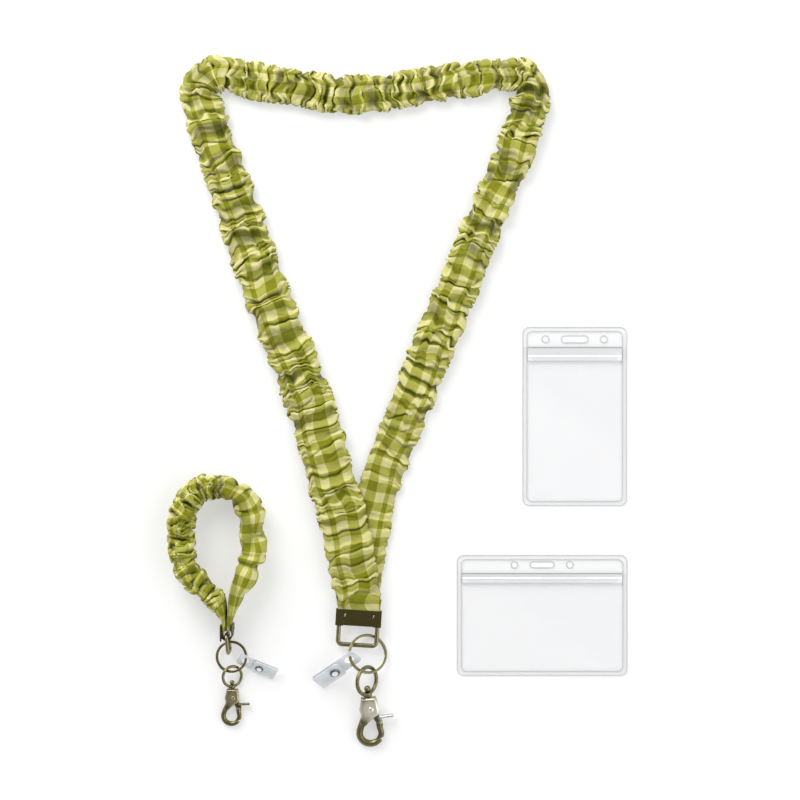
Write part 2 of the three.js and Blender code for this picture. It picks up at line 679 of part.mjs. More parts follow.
function addHardware(prefix, h) {
  const up = V(0, 0, 1);
  const pivot = V(...h.pivot);
  const towardsStrap = polar(1, 90 + h.clampTurn);
  const clampUp = h.onEdge ? V(-1, 0) : up;
  const clamp = addFrame(prefix + "_clamp_frame", pivot, towardsStrap, clampUp);
  addPiece(clamp, prefix + "_clamp", clampGeometry(h), BRONZE());
  const barAxis = towardsStrap.clone().cross(clampUp);
  const loopAlong = towardsStrap.clone().applyAxisAngle(barAxis, radians(h.loopTurn));
  const loopUp = clampUp.clone().applyAxisAngle(barAxis, radians(h.loopTurn));
  const loop = addFrame(prefix + "_loop_frame", pivot, loopAlong, loopUp);
  addPiece(loop, prefix + "_rect_loop",
    planarTube(loopPath(h), h.loopWire / 2, h.loopWire / 2, 8, true), BRONZE());
  addFrame(prefix + "_bar_frame",
    pivot.clone().addScaledVector(loopAlong, h.loopWire - h.loopLength), loopAlong, loopUp);

  const [riseX, riseY] = h.ringSlope;
  const ringUp = V(-riseX, -riseY, 1).normalize();
  const ringAlong = V(0, 1, riseY).normalize();
  const ringCentre = V(...h.ringCentre);
  const ring = addFrame(prefix + "_ring_frame", ringCentre, ringAlong, ringUp);
  addPiece(ring, prefix + "_split_ring", splitRingGeometry(h.ringDiameter), BRONZE());

  const eyeCentre = V(...h.eyeCentre);
  const level = V(h.hookEnd[0] - eyeCentre.x, h.hookEnd[1] - eyeCentre.y).normalize();
  const pitch = radians(h.hookPitch);
  const towardsEye = level.clone().multiplyScalar(-Math.cos(pitch)).setZ(Math.sin(pitch));
  const hook = addFrame(prefix + "_hook_frame", eyeCentre, towardsEye, up);
  const eyeUp = up.clone().applyAxisAngle(towardsEye, radians(h.eyeTilt));
  const eye = addFrame(prefix + "_eye_frame", eyeCentre, towardsEye, eyeUp);
  const s = h.hookScale;
  const scaled = (geometry) => geometry.scale(s, s, s);
  addPiece(eye, prefix + "_swivel_eye", scaled(eyeGeometry()), BRONZE());
  addPiece(hook, prefix + "_swivel_post", scaled(postGeometry()), BRONZE());
  addPiece(hook, prefix + "_hook_body", scaled(hookBodyGeometry()), BRONZE_BRIGHT());
  addPiece(hook, prefix + "_trigger", scaled(triggerGeometry()), BRONZE());
  addPiece(hook, prefix + "_trigger_pin", scaled(pinGeometry()), BRONZE_BRIGHT());
  addPiece(hook, prefix + "_trigger_spring", scaled(springGeometry()), SPRING_STEEL());

  // The clip's strap hangs from the ring and leans on one long edge.
  const hole = V(h.clipHole[0], h.clipHole[1]);
  hole.z = ringCentre.z + riseX * (hole.x - ringCentre.x) + riseY * (hole.y - ringCentre.y);
  const down = radians(h.clipPitch);
  const strapAlong = polar(Math.cos(down), h.clipHeading).setZ(-Math.sin(down));
  const rolledUp = up.clone().applyAxisAngle(strapAlong, radians(h.clipRoll));
  const strapAcross = rolledUp.cross(strapAlong).normalize();
  const clip = addFrame(prefix + "_clip_frame", hole, strapAcross, strapAlong.clone().cross(strapAcross));
  const c = h.clipScale;
  const clipScaled = (geometry) => geometry.scale(c, c, c);
  addPiece(clip, prefix + "_clip_strap", clipScaled(clipStrapGeometry()), VINYL());
  addPiece(clip, prefix + "_clip_flap", clipScaled(clipFlapGeometry()), VINYL());
  addPiece(clip, prefix + "_snap_cap", clipScaled(snapCapGeometry()), NICKEL());
  addPiece(clip, prefix + "_snap_stud", clipScaled(snapStudGeometry()), NICKEL());
}

// ---- Clear card pocket ----

function addPocket(prefix, p) {
  const centre = V(...p.centre);
  const top = p.height / 2;
  const slotMiddle = V(0, top - p.slotDrop);
  const outline = roundedRect(p.width, p.height, POCKET_CORNER);
  const back = cut(
    plate(outline, 0, POCKET_SHEET),
    plate(roundedRect(p.slot[0], p.slot[1], p.slot[1] / 2 - 0.01, slotMiddle), -1, 2),
    ...[-1, 1].map((side) =>
      bar(p.holeDiameter / 2, -1, 2, 14, V((side * p.holeSpan) / 2, slotMiddle.y))),
  );
  const pocket = addFrame(prefix + "_frame", centre, V(0, 1), V(0, 0, 1));
  addPiece(pocket, prefix + "_back_sheet", back, POCKET_VINYL());

  // The front sheet stands off the back sheet inside its welded rim, and is open at its lip.
  const rimFoot = POCKET_SHEET + POCKET_WELD_GAP;
  const roof = POCKET_SHEET + POCKET_DEPTH;
  const windowWidth = p.width - 2 * p.windowSide;
  const header = new THREE.BoxGeometry(2 * p.width, p.mouth, 9).translate(0, top - p.mouth / 2, 0);
  const room = new THREE.BoxGeometry(windowWidth, p.height, 2 * roof)
    .translate(0, p.windowFoot, 0);
  const front = cut(plate(outline, rimFoot, roof + POCKET_SHEET), header, room);
  addPiece(pocket, prefix + "_front_sheet", front, POCKET_VINYL());

  // Press-to-close zip: a ribbed strip on the front sheet inside a channelled strip on the back.
  const [highLine, lowLine] = p.zipDrop;
  const zipTop = top - p.mouth - highLine;
  const zipFoot = top - p.mouth - lowLine;
  const middle = (zipTop + zipFoot) / 2;
  const zipLength = windowWidth - 2 * GAP;
  const groove = [V(zipFoot, 0), V(zipTop, 0), V(zipTop, 0.25), V(middle + 1, 0.25), V(middle + 1, 0.9),
    V(middle + 0.6, 0.9), V(middle + 0.6, 0.25), V(middle - 0.6, 0.25), V(middle - 0.6, 0.9),
    V(middle - 1, 0.9), V(middle - 1, 0.25), V(zipFoot, 0.25)];
  const rib = [V(zipFoot, 0), V(zipFoot, -0.22), V(middle - 0.3, -0.22), V(middle - 0.3, -0.85),
    V(middle + 0.3, -0.85), V(middle + 0.3, -0.22), V(zipTop, -0.22), V(zipTop, 0)];
  // The profiles lie in YZ and run along X.
  const strip = (profile, lift) =>
    plate(profile, -zipLength / 2, zipLength / 2)
      .applyMatrix4(new THREE.Matrix4().makeBasis(V(0, 1), V(0, 0, 1), V(1, 0)))
      .translate(0, 0, lift);
  addPiece(pocket, prefix + "_zip_groove", strip(groove, POCKET_SHEET + 0.05), POCKET_VINYL());
  addPiece(pocket, prefix + "_zip_rib", strip(rib, roof - 0.05), POCKET_VINYL());
}

addStrap("neck", NECK_ROUTE, false, NECK_ELASTIC_WIDTH);
addStrap("wrist", WRIST_ROUTE, true, WRIST_ELASTIC_WIDTH);
addHardware("neck", NECK_HARDWARE);
addHardware("wrist", WRIST_HARDWARE);
addPocket("upright_pocket", UPRIGHT_POCKET);
addPocket("landscape_pocket", LANDSCAPE_POCKET);

// Moves the layout so that the origin is the centre of the bottom of its box.
set.updateMatrixWorld(true);
const box = new THREE.Box3().setFromObject(set, true);
set.position.set(-(box.min.x + box.max.x) / 2, -(box.min.y + box.max.y) / 2, -box.min.z);

export default set;
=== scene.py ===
"""Looks of a lanyard badge holder set: a gathered neck lanyard, a gathered wristlet and two clear pockets.

Sizes are millimetres until they are turned into metres by MM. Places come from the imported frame."""

import json
import math

import bmesh
import bpy
import numpy as np
from mathutils import Matrix, Vector


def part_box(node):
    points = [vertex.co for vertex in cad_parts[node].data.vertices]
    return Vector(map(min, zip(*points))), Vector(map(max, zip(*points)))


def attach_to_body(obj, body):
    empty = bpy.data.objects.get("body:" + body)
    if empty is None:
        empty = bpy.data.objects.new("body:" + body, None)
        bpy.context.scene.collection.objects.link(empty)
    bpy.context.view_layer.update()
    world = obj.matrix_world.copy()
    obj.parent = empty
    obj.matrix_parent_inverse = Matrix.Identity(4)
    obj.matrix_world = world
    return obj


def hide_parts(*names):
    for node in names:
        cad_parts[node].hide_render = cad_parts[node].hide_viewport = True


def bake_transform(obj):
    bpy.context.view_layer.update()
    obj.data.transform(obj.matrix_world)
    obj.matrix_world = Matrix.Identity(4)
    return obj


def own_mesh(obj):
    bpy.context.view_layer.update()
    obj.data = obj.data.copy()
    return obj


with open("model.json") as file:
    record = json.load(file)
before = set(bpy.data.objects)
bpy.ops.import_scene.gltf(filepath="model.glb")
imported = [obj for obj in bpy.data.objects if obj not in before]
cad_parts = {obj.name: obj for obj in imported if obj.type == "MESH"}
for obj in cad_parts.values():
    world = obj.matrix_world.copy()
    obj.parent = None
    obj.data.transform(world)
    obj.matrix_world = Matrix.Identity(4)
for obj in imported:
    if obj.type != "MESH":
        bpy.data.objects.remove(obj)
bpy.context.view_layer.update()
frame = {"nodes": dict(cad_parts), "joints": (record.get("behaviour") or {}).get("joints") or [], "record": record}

MM = 0.001

# ---- Layout of the two straps, as in the CAD source ----
# Rows are x, y, height of the centre line, width, thickness.

LAYOUT_SHIFT = (-0.028, 1.676, 0.004)  # from the layout's origin to the frame's
NECK_ROUTE = [
    (-25.78, -135.6, 5.5, 26, 1.9), (-25.4, -129.2, 5.5, 26.4, 1.9), (-26, -122.6, 6.9, 28, 3.8),
    (-28, -111, 8.1, 29, 5.4), (-30.6, -97, 8.4, 29.6, 6), (-36.4, -70, 8.4, 29.6, 6.2),
    (-43.1, -48.8, 7.2, 29.4, 7), (-52.5, -13.8, 5.2, 29, 8), (-65, 21.3, 4.4, 28.6, 8.6),
    (-79.4, 56.3, 4.4, 27.8, 8.6), (-91.9, 91.3, 4.4, 27.6, 8.6), (-103, 124.6, 4.4, 26.4, 8.6),
    (-115, 158.1, 4.4, 24.8, 8.6), (-122.2, 181, 4.4, 24.2, 8.6), (-124.4, 190.4, 4.4, 24, 8.6),
    (-121.6, 198.2, 4.4, 23, 8.6), (-114.4, 202.6, 4.4, 21.6, 8.6), (-104, 201.6, 4.4, 21.4, 8.6),
    (-85.2, 197.8, 4.4, 22, 8.6), (-60.1, 193.8, 4.4, 22, 8.6), (-35, 190.2, 4.4, 22, 8.6),
    (-6.3, 191.9, 4.4, 21.6, 8.6), (18.8, 196.4, 4.4, 21.2, 8.6), (44.1, 199.8, 4.4, 20.6, 8.6),
    (63, 202.6, 4.4, 19, 8.6), (75.2, 202, 4.4, 20, 8.6), (81.6, 195.4, 4.4, 22, 8.6),
    (81.2, 186.6, 4.4, 23, 8.6), (72.5, 158.1, 4.4, 23.6, 8.6), (61.6, 131.5, 4.4, 23.4, 8.6),
    (50.8, 107.8, 4.4, 23.6, 8.6), (35.6, 69, 4.4, 25, 8.6), (22.6, 38.8, 4.4, 25.4, 8.2),
    (10.6, 8, 3.8, 25.4, 7.4), (-1.9, -24, 3, 25, 5.8), (-11.3, -48.8, 2.55, 24.8, 5),
    (-16.6, -68.1, 2.5, 24.8, 4.9), (-21.6, -97, 2.5, 25, 4.9), (-24.4, -114, 2.4, 25.2, 4.2),
    (-25.1, -122.6, 2.9, 26, 2.8), (-25.4, -129.2, 3.3, 26.4, 1.9), (-25.78, -135.6, 3.3, 26, 1.9),
]
WRIST_ROUTE = [
    (-108.67, -142.6, 10.8, 18.4, 2.6), (-108.8, -137, 10.8, 18.8, 2.7), (-110.6, -131.4, 10.7, 20, 5.6),
    (-114.2, -124.2, 10.6, 21, 9.6), (-121.6, -116.6, 10.5, 21, 12), (-129.6, -109.2, 10.5, 21, 12.6),
    (-134.2, -99.4, 10.5, 21, 13), (-135.6, -84, 10.5, 21, 13.4), (-134.6, -70, 10.5, 21, 13.4),
    (-128.4, -59, 10.5, 21, 13), (-118.4, -53.8, 10.5, 21, 12.4), (-107, -54.4, 10.5, 21, 12),
    (-98, -60.6, 10.5, 21, 11.6), (-94, -72, 10.5, 21, 11.6), (-92.6, -86, 10.5, 21, 11.6),
    (-93.2, -98.4, 10.5, 21, 11.4), (-97.6, -110.4, 10.5, 21, 10.4), (-101.6, -121, 10.6, 21, 8),
    (-104.2, -131, 10.7, 20, 4.6), (-105.55, -137, 10.8, 18.8, 2.7), (-105.68, -142.6, 10.8, 18.4, 2.6),
]

# ---- Camera, light and floor ----

FRAME_WIDTH = 0.5  # what the camera sees across the table
LENS = 100.0
SENSOR = 36.0
CAMERA_HEIGHT = FRAME_WIDTH * LENS / SENSOR


def add_camera():
    camera = bpy.data.cameras.new("camera")
    camera.lens = LENS
    camera.sensor_width = SENSOR
    camera.clip_start = 0.05
    holder = bpy.data.objects.new("camera", camera)
    holder.location = Vector((LAYOUT_SHIFT[0] * MM, LAYOUT_SHIFT[1] * MM, CAMERA_HEIGHT))
    bpy.context.scene.collection.objects.link(holder)
    bpy.context.scene.camera = holder


def add_area_light(name, place, size, energy, colour=(1, 1, 1)):
    light = bpy.data.lights.new(name, "AREA")
    light.shape = "SQUARE"
    light.size = size
    light.energy = energy
    light.color = colour
    holder = bpy.data.objects.new(name, light)
    holder.location = place
    holder.rotation_euler = (-Vector(place)).to_track_quat("-Z", "Y").to_euler()
    bpy.context.scene.collection.objects.link(holder)


TABLE_HALF = 3.0
TABLE_GREY = 0.46
TABLE_GLOW = 0.45  # the table is lit from below too, so that shadows stay soft


def add_studio():
    """A pale table, a soft light from the upper left, a fill from the right and a bright surround."""
    world = bpy.data.worlds.new("studio")
    world.use_nodes = True
    tree = world.node_tree
    where = tree.nodes.new("ShaderNodeTexCoord")
    height = tree.nodes.new("ShaderNodeSeparateXYZ")
    walls = tree.nodes.new("ShaderNodeValToRGB")
    tree.links.new(where.outputs["Generated"], height.inputs[0])
    tree.links.new(height.outputs["Z"], walls.inputs[0])
    tree.links.new(walls.outputs[0], tree.nodes["Background"].inputs["Color"])
    # Bright walls under a dark ceiling, so that metal has something to reflect.
    stops = ((0.0, 0.9), (0.35, 0.95), (0.8, 0.8), (0.93, 0.12))
    while len(walls.color_ramp.elements) < len(stops):
        walls.color_ramp.elements.new(0.5)
    for element, (position, level) in zip(walls.color_ramp.elements, stops):
        element.position = position
        element.color = (level, level, level, 1)
    tree.nodes["Background"].inputs["Strength"].default_value = 0.82
    bpy.context.scene.world = world
    add_area_light("key", (-0.6, 0.95, 0.85), 1.0, 20.0, (1.0, 0.99, 0.97))
    add_area_light("fill", (0.9, -0.2, 0.9), 1.4, 9.0, (0.97, 0.98, 1.0))
    side = TABLE_HALF
    mesh = bpy.data.meshes.new("table")
    corners = [(-side, -side, 0), (side, -side, 0), (side, side, 0), (-side, side, 0)]
    mesh.from_pydata(corners, [], [(0, 1, 2, 3)])
    table = bpy.data.objects.new("table", mesh)
    bpy.context.scene.collection.objects.link(table)
    paint = bpy.data.materials.new("table_paint")
    paint.use_nodes = True
    shader = paint.node_tree.nodes["Principled BSDF"]
    shader.inputs["Base Color"].default_value = (TABLE_GREY, TABLE_GREY, TABLE_GREY, 1)
    shader.inputs["Roughness"].default_value = 0.65
    shader.inputs["Emission Color"].default_value = (1, 1, 1, 1)
    shader.inputs["Emission Strength"].default_value = TABLE_GLOW
    mesh.materials.append(paint)
    bpy.context.scene.view_settings.view_transform = "Standard"


# ---- Shader helpers ----


class Shader:
    """A material's node tree with short calls for the nodes that the finishes use."""

    def __init__(self, name):
        self.material = bpy.data.materials.new(name)
        self.material.use_nodes = True
        self.tree = self.material.node_tree
        self.surface = self.tree.nodes["Principled BSDF"]

    def put(self, value, socket):
        """Links an output or sets a plain value."""
        if isinstance(value, bpy.types.NodeSocket):
            self.tree.links.new(value, socket)
        else:
            socket.default_value = value

    def set(self, **inputs):
        for name, value in inputs.items():
            self.put(value, self.surface.inputs[name.replace("_", " ")])

    def math(self, operation, a, b=0.0, c=0.0):
        node = self.tree.nodes.new("ShaderNodeMath")
        node.operation = operation
        for socket, value in zip(node.inputs, (a, b, c)):
            self.put(value, socket)
        return node.outputs[0]

    def clamp(self, value):
        return self.math("MINIMUM", self.math("MAXIMUM", value, 0.0), 1.0)

    def centred(self, value, gain):
        """A noise around one half, turned into a push around nought."""
        return self.math("MULTIPLY", self.math("SUBTRACT", value, 0.5), gain)

    def place(self, source="Object"):
        """Coordinates in metres: the object's own, or a named UV map."""
        if source == "Object":
            return self.tree.nodes.new("ShaderNodeTexCoord").outputs["Object"]
        node = self.tree.nodes.new("ShaderNodeUVMap")
        node.uv_map = source
        return node.outputs["UV"]

    def split(self, vector):
        node = self.tree.nodes.new("ShaderNodeSeparateXYZ")
        self.put(vector, node.inputs[0])
        return node.outputs[0], node.outputs[1], node.outputs[2]

    def noise(self, where, scale, detail=3.0, roughness=0.55):
        node = self.tree.nodes.new("ShaderNodeTexNoise")
        self.put(where, node.inputs["Vector"])
        node.inputs["Scale"].default_value = scale
        node.inputs["Detail"].default_value = detail
        node.inputs["Roughness"].default_value = roughness
        return node.outputs["Fac"]

    def ramp(self, value, stops, kind="LINEAR"):
        node = self.tree.nodes.new("ShaderNodeValToRGB")
        self.put(value, node.inputs[0])
        ramp = node.color_ramp
        ramp.interpolation = kind
        while len(ramp.elements) < len(stops):
            ramp.elements.new(0.5)
        for element, (position, colour) in zip(ramp.elements, stops):
            element.position = position
            element.color = (*colour, 1)
        return node.outputs[0]

    def mix(self, share, a, b, kind="MIX"):
        node = self.tree.nodes.new("ShaderNodeMix")
        node.data_type = "RGBA"
        node.blend_type = kind
        self.put(share, node.inputs[0])
        for socket, value in ((node.inputs[6], a), (node.inputs[7], b)):
            self.put((*value, 1) if isinstance(value, tuple) and len(value) == 3 else value, socket)
        return node.outputs[2]

    def bump(self, height, depth, strength=1.0, under=None):
        node = self.tree.nodes.new("ShaderNodeBump")
        node.inputs["Strength"].default_value = strength
        node.inputs["Distance"].default_value = depth
        self.put(height, node.inputs["Height"])
        if under is not None:
            self.put(under, node.inputs["Normal"])
        return node.outputs[0]


def srgb(red, green, blue):
    """A display colour, 0 to 255, as linear light."""
    parts = [value / 255 for value in (red, green, blue)]
    return tuple(v / 12.92 if v <= 0.04045 else ((v + 0.055) / 1.055) ** 2.4 for v in parts)


# ---- Gingham cotton ----

CHECK = 6.35 * MM  # a quarter of an inch
THREAD = 0.42 * MM
GINGHAM_DARK = srgb(116, 118, 22)
GINGHAM_MIDDLE = srgb(154, 154, 68)
GINGHAM_PALE = srgb(198, 193, 132)


def gingham():
    """Woven checks from the cloth's own coordinates, with threads, slubs and a soft nap, with painted shade in the
    gathers' creases and painted highlight on their crests.
    """
    s = Shader("gingham_cotton")
    cloth = s.place("cloth")
    across, along, _ = s.split(cloth)
    wander = s.centred(s.noise(cloth, 900, 2), 0.10)

    def stripe(value):
        turn = s.math("FRACT", s.math("DIVIDE", value, 2 * CHECK))
        off = s.math("ABSOLUTE", s.math("SUBTRACT", turn, 0.5))
        edge = s.math("SUBTRACT", s.math("ADD", off, s.math("MULTIPLY", wander, 0.12)), 0.235)
        return s.math("SMOOTH_MIN", s.math("MAXIMUM", s.math("MULTIPLY", edge, 33.0), 0.0), 1.0, 0.1)

    tone = s.math("MULTIPLY", s.math("ADD", stripe(across), stripe(along)), 0.5)
    colour = s.ramp(tone, [(0.0, GINGHAM_PALE), (0.5, GINGHAM_MIDDLE), (1.0, GINGHAM_DARK)])
    warp = s.math("SINE", s.math("MULTIPLY", across, 2 * math.pi / THREAD))
    weft = s.math("SINE", s.math("MULTIPLY", along, 2 * math.pi / THREAD))
    weave = s.math("MULTIPLY", warp, weft)
    slub = s.noise(cloth, 420, 4, 0.7)
    threads = s.math("ADD", s.math("MULTIPLY", weave, 0.06), s.centred(slub, 0.34))
    shade = s.math("ADD", 1.0, threads)
    # Painted shade and highlight: the fold depth darkens the cloth in the creases of the gathers and lightens it
    # on their crests.
    depth = s.tree.nodes.new("ShaderNodeAttribute")
    depth.attribute_name = "fold"
    shade = s.math("MULTIPLY", shade, s.ramp(
        s.math("ADD", s.math("MULTIPLY", depth.outputs["Fac"], 0.2), 0.7),
        [(0.0, (0.16,) * 3), (0.4, (0.62,) * 3), (0.66, (0.98,) * 3), (1.0, (1.18,) * 3)]))
    tint = s.tree.nodes.new("ShaderNodeVectorMath")
    tint.operation = "SCALE"
    s.put(colour, tint.inputs[0])
    s.put(shade, tint.inputs["Scale"])
    crumple = s.noise(cloth, 260, 5, 0.62)
    lift = s.bump(crumple, 0.55 * MM, 0.8)
    s.set(
        Base_Color=tint.outputs[0], Roughness=0.88, Sheen_Weight=0.08, Sheen_Roughness=0.45,
        Specular_IOR_Level=0.14, Normal=s.bump(weave, 0.06 * MM, 0.7, lift),
    )
    return s.material


# ---- Gathered covers ----


def smooth_step(value):
    value = np.clip(value, 0, 1)
    return value * value * (3 - 2 * value)


def catmull(rows, steps):
    """Points on a smooth curve through the rows, with every column carried along."""
    points = np.array(rows, float)
    points = np.vstack([2 * points[0] - points[1], points, 2 * points[-1] - points[-2]])
    t = (np.arange(steps) / steps)[:, None]
    parts = []
    for a, b, c, d in zip(points, points[1:], points[2:], points[3:]):
        bend, twist = 2 * a - 5 * b + 4 * c - d, 3 * b - a - 3 * c + d
        parts.append(0.5 * (2 * b + (c - a) * t + bend * t**2 + twist * t**3))
    return np.vstack(parts + [points[-2:-1]])


def soften(values, width):
    """A moving average along the first axis, with a window of 2 * width + 1 rows, twice over."""
    kernel = np.ones(2 * width + 1) / (2 * width + 1)
    for _ in range(2):
        before = 2 * values[:1] - values[width:0:-1]
        after = 2 * values[-1:] - values[-2:-width - 2:-1]
        padded = np.concatenate([before, values, after])
        values = np.apply_along_axis(lambda column: np.convolve(column, kernel, "valid"), 0, padded)
    return values


class Path:
    """A strap's centre line, at any length along it: places, directions and sizes."""

    def __init__(self, route, on_edge, turn_softness):
        dense = catmull(route, 40)
        steps = np.linalg.norm(np.diff(dense[:, :3], axis=0), axis=1)
        at = np.concatenate([[0], np.cumsum(steps)])
        self.length = at[-1]
        self.grid = np.linspace(0, self.length, int(self.length * 2) + 1)
        self.rows = np.stack([np.interp(self.grid, at, dense[:, k]) for k in range(5)], 1)
        along = np.gradient(self.rows[:, :3], axis=0)
        along[:, 2] = 0
        along = soften(along, int(turn_softness * 2))
        self.along = along / np.linalg.norm(along, axis=1)[:, None]
        self.on_edge = on_edge

    def at(self, values):
        """Centre, across, through, width and thickness for an array of lengths along the path."""
        def read(table):
            return np.stack([np.interp(values, self.grid, table[:, k]) for k in range(table.shape[1])], -1)

        rows, along = read(self.rows), read(self.along)
        level = np.stack([-along[..., 1], along[..., 0], 0 * along[..., 0]], -1)
        level /= np.linalg.norm(level, axis=-1)[..., None]
        up = np.zeros_like(level)
        up[..., 2] = 1
        across, through = (up, level) if self.on_edge else (level, up)
        return rows[..., :3], across, through, rows[..., 3], rows[..., 4]


def gathers(strap, rng, fabric_length, share):
    """Every gather of one strap: where it is in the cloth, how far round it runs and how deep it is."""
    made = []
    for lane in strap["lanes"]:
        place = rng.uniform(2, 8)
        while place < fabric_length - 2:
            along = share(place)
            bunched = rng.uniform() < 0.55
            spread = rng.uniform(0.35, 0.7) if bunched else rng.uniform(1.1, 2.0)
            pitch = np.interp(along, lane["at"], lane["pitch"]) * spread
            turn = np.interp(along, lane["at"], lane["turn"]) * rng.uniform(0.6, 1.15)
            made.append({
                "place": place,
                "round": lane["round"] + rng.normal(0, lane["stray"]),
                "half": lane["half"] * rng.uniform(0.55, 1.35),
                "slant": rng.normal(lane["slant"], lane.get("tilt", 0.2)),
                "wave": rng.normal(0, 1.1),
                "phase": rng.uniform(0, 6.28),
                "turn": turn,
                "width": lane["width"] * rng.uniform(0.75, 1.3),
            })
            place += pitch
    return made


MOST_TURN = 2.35  # how far, in radians, a fold may turn the cloth


def fold_field(folds, f, phi, girth):
    """The angle that the cloth makes with the strap, for rows f and places phi round the section."""
    angle = np.zeros((len(f), len(phi)))
    for fold in folds:
        reach = 9 * fold["width"] + fold["half"] * abs(fold["slant"]) + 3
        low, high = np.searchsorted(f, [fold["place"] - reach, fold["place"] + reach])
        off = (phi - fold["round"] + girth / 2) % girth - girth / 2
        inside = smooth_step((fold["half"] - np.abs(off)) / (0.55 * fold["half"]))
        line = fold["place"] + fold["slant"] * off + fold["wave"] * np.sin(off / 5.5 + fold["phase"])
        x = (f[low:high, None] - line[None, :]) / fold["width"]
        steep = np.where(x < 0, x / 0.85, x)
        down = np.where(x < 0, 1.15 * steep, steep) * np.exp(0.5 - steep**2 / 2)
        lip = x / 2.6 * np.exp(0.5 - (x / 2.6) ** 2 / 2)
        angle[low:high] += fold["turn"] * inside[None, :] * (down - 0.36 * lip)
    return MOST_TURN * np.tanh(angle / MOST_TURN)


def powered(values, squareness):
    """Values from -1 to 1, moved outward to make a circle squarer."""
    return np.sign(values) * np.abs(values) ** squareness


def section(across, through, width, thickness, turn, squareness):
    """A point of the flattened oval section and its outward direction."""
    cosine, sine = np.cos(turn), np.sin(turn)
    wide, high = powered(cosine, squareness) * width / 2, powered(sine, squareness) * thickness / 2
    place = across * wide[..., None] + through * high[..., None]
    out = across * (cosine / width)[..., None] + through * (sine / thickness)[..., None]
    return place, out / np.linalg.norm(out, axis=-1)[..., None]


def even_turns(width, thickness, squareness, count):
    """Angles that cut the oval section into equal lengths, for its usual width and thickness."""
    turn = np.linspace(0, 2 * np.pi, 721)
    x, y = powered(np.cos(turn), squareness) * width / 2, powered(np.sin(turn), squareness) * thickness / 2
    round_it = np.concatenate([[0], np.cumsum(np.hypot(np.diff(x), np.diff(y)))])
    return np.interp(np.arange(count) / count * round_it[-1], round_it, turn), round_it[-1]


TABLE_REST = 0.15  # how close the cloth's outside comes to the table
TABLE_SOFTNESS = 0.35  # how gently the cloth flattens there


def gathered_grid(strap, path):
    """The folded tube of cloth as rows of points, with the cloth's own coordinates."""
    count = strap["columns"]
    turn, girth = even_turns(strap["width"], strap["thickness"], strap["squareness"], count)
    phi = np.arange(count) / count * girth
    fabric_length = path.length * strap["gather"]
    share = lambda place: min(1.0, place / fabric_length)
    for _ in range(2):
        rng = np.random.default_rng(strap["seed"])
        folds = gathers(strap, rng, fabric_length, share)
        f = np.arange(0, fabric_length * 1.25, strap["step"])
        angle = fold_field(folds, f, phi, girth)
        done = np.clip(f / fabric_length, 0, 1)
        fullness = np.interp(done, *strap["fullness"])[:, None]
        angle *= fullness
        run = np.cumsum(np.cos(angle) * strap["step"], axis=0)
        mean = soften(run.mean(1)[:, None], int(12 / strap["step"]))[:, 0]
        mean -= mean[0]
        last = int(np.searchsorted(mean, path.length))
        fabric_length = f[min(last, len(f) - 1)]
    run, angle, f = run[:last + 1], angle[:last + 1], f[:last + 1]
    mean = mean[:last + 1] * path.length / mean[last]
    along = mean[:, None] + run - soften(run, int(strap["even_out"] / strap["step"]))
    along = np.clip(along, 0, path.length)
    depth = np.cumsum(np.sin(angle) * strap["step"], axis=0)
    depth -= soften(depth, int(14 / strap["step"]))
    ends = smooth_step(np.minimum(mean, path.length - mean) / 12)[:, None]
    along = mean[:, None] + (along - mean[:, None]) * ends
    lift = 0.0
    puff = smooth_noise(rng, len(f), count, 9 / strap["step"], 8 * count / girth) * strap["puff"]
    depth = (depth + puff) * ends
    for share_at, half_long, height, round_at, half_round in strap["lobes"]:
        far_round = ((phi - round_at + girth / 2) % girth - girth / 2) / half_round
        far_along = (mean / path.length - share_at) * path.length / half_long
        crown = np.maximum(0, 1 - far_along**2)[:, None] ** 0.6 * np.maximum(0, 1 - far_round**2)[None, :]
        lift = lift + height * crown
    cap = np.where(depth > 0, strap["rise"], strap["sink"])
    depth = cap * np.tanh(depth / cap) + lift
    off = (phi - strap["seam"] + girth / 2) % girth - girth / 2
    stitched = 0.45 * np.exp(-((off - 1.4) / 1.1) ** 2) - 0.5 * np.exp(-(off / 0.9) ** 2)
    depth += strap["ridge"] * stitched[None, :]
    centre, across, through, width, thickness = path.at(along)
    turned = smooth_noise(rng, len(f), 1, 26 / strap["step"], 0)[:, :1]
    twist = turned * strap["twist"] * ends / girth * 2 * np.pi
    turns = turn[None, :] + twist
    place, out = section(across, through, width, thickness, turns, strap["squareness"])
    depth *= np.clip(thickness / strap["thickness"], 0.1, 1.0)
    points = centre + place + out * depth[..., None]
    rise = points[..., 2] - TABLE_REST
    points[..., 2] = TABLE_REST + (rise + np.sqrt(rise**2 + TABLE_SOFTNESS)) / 2
    return points, f, girth, depth


def smooth_noise(rng, rows, columns, row_step, column_step):
    """Gentle bumps about one unit high, closed round the section."""
    raw = rng.normal(0, 1, (rows, columns))
    raw = soften(raw, max(1, int(row_step / 2)))
    if columns > 1:
        wide = max(1, int(column_step / 2))
        raw = np.concatenate([raw[:, -2 * wide:], raw, raw[:, :2 * wide]], 1)
        raw = soften(raw.T, wide).T[:, 2 * wide:-2 * wide]
    return raw / raw.std()


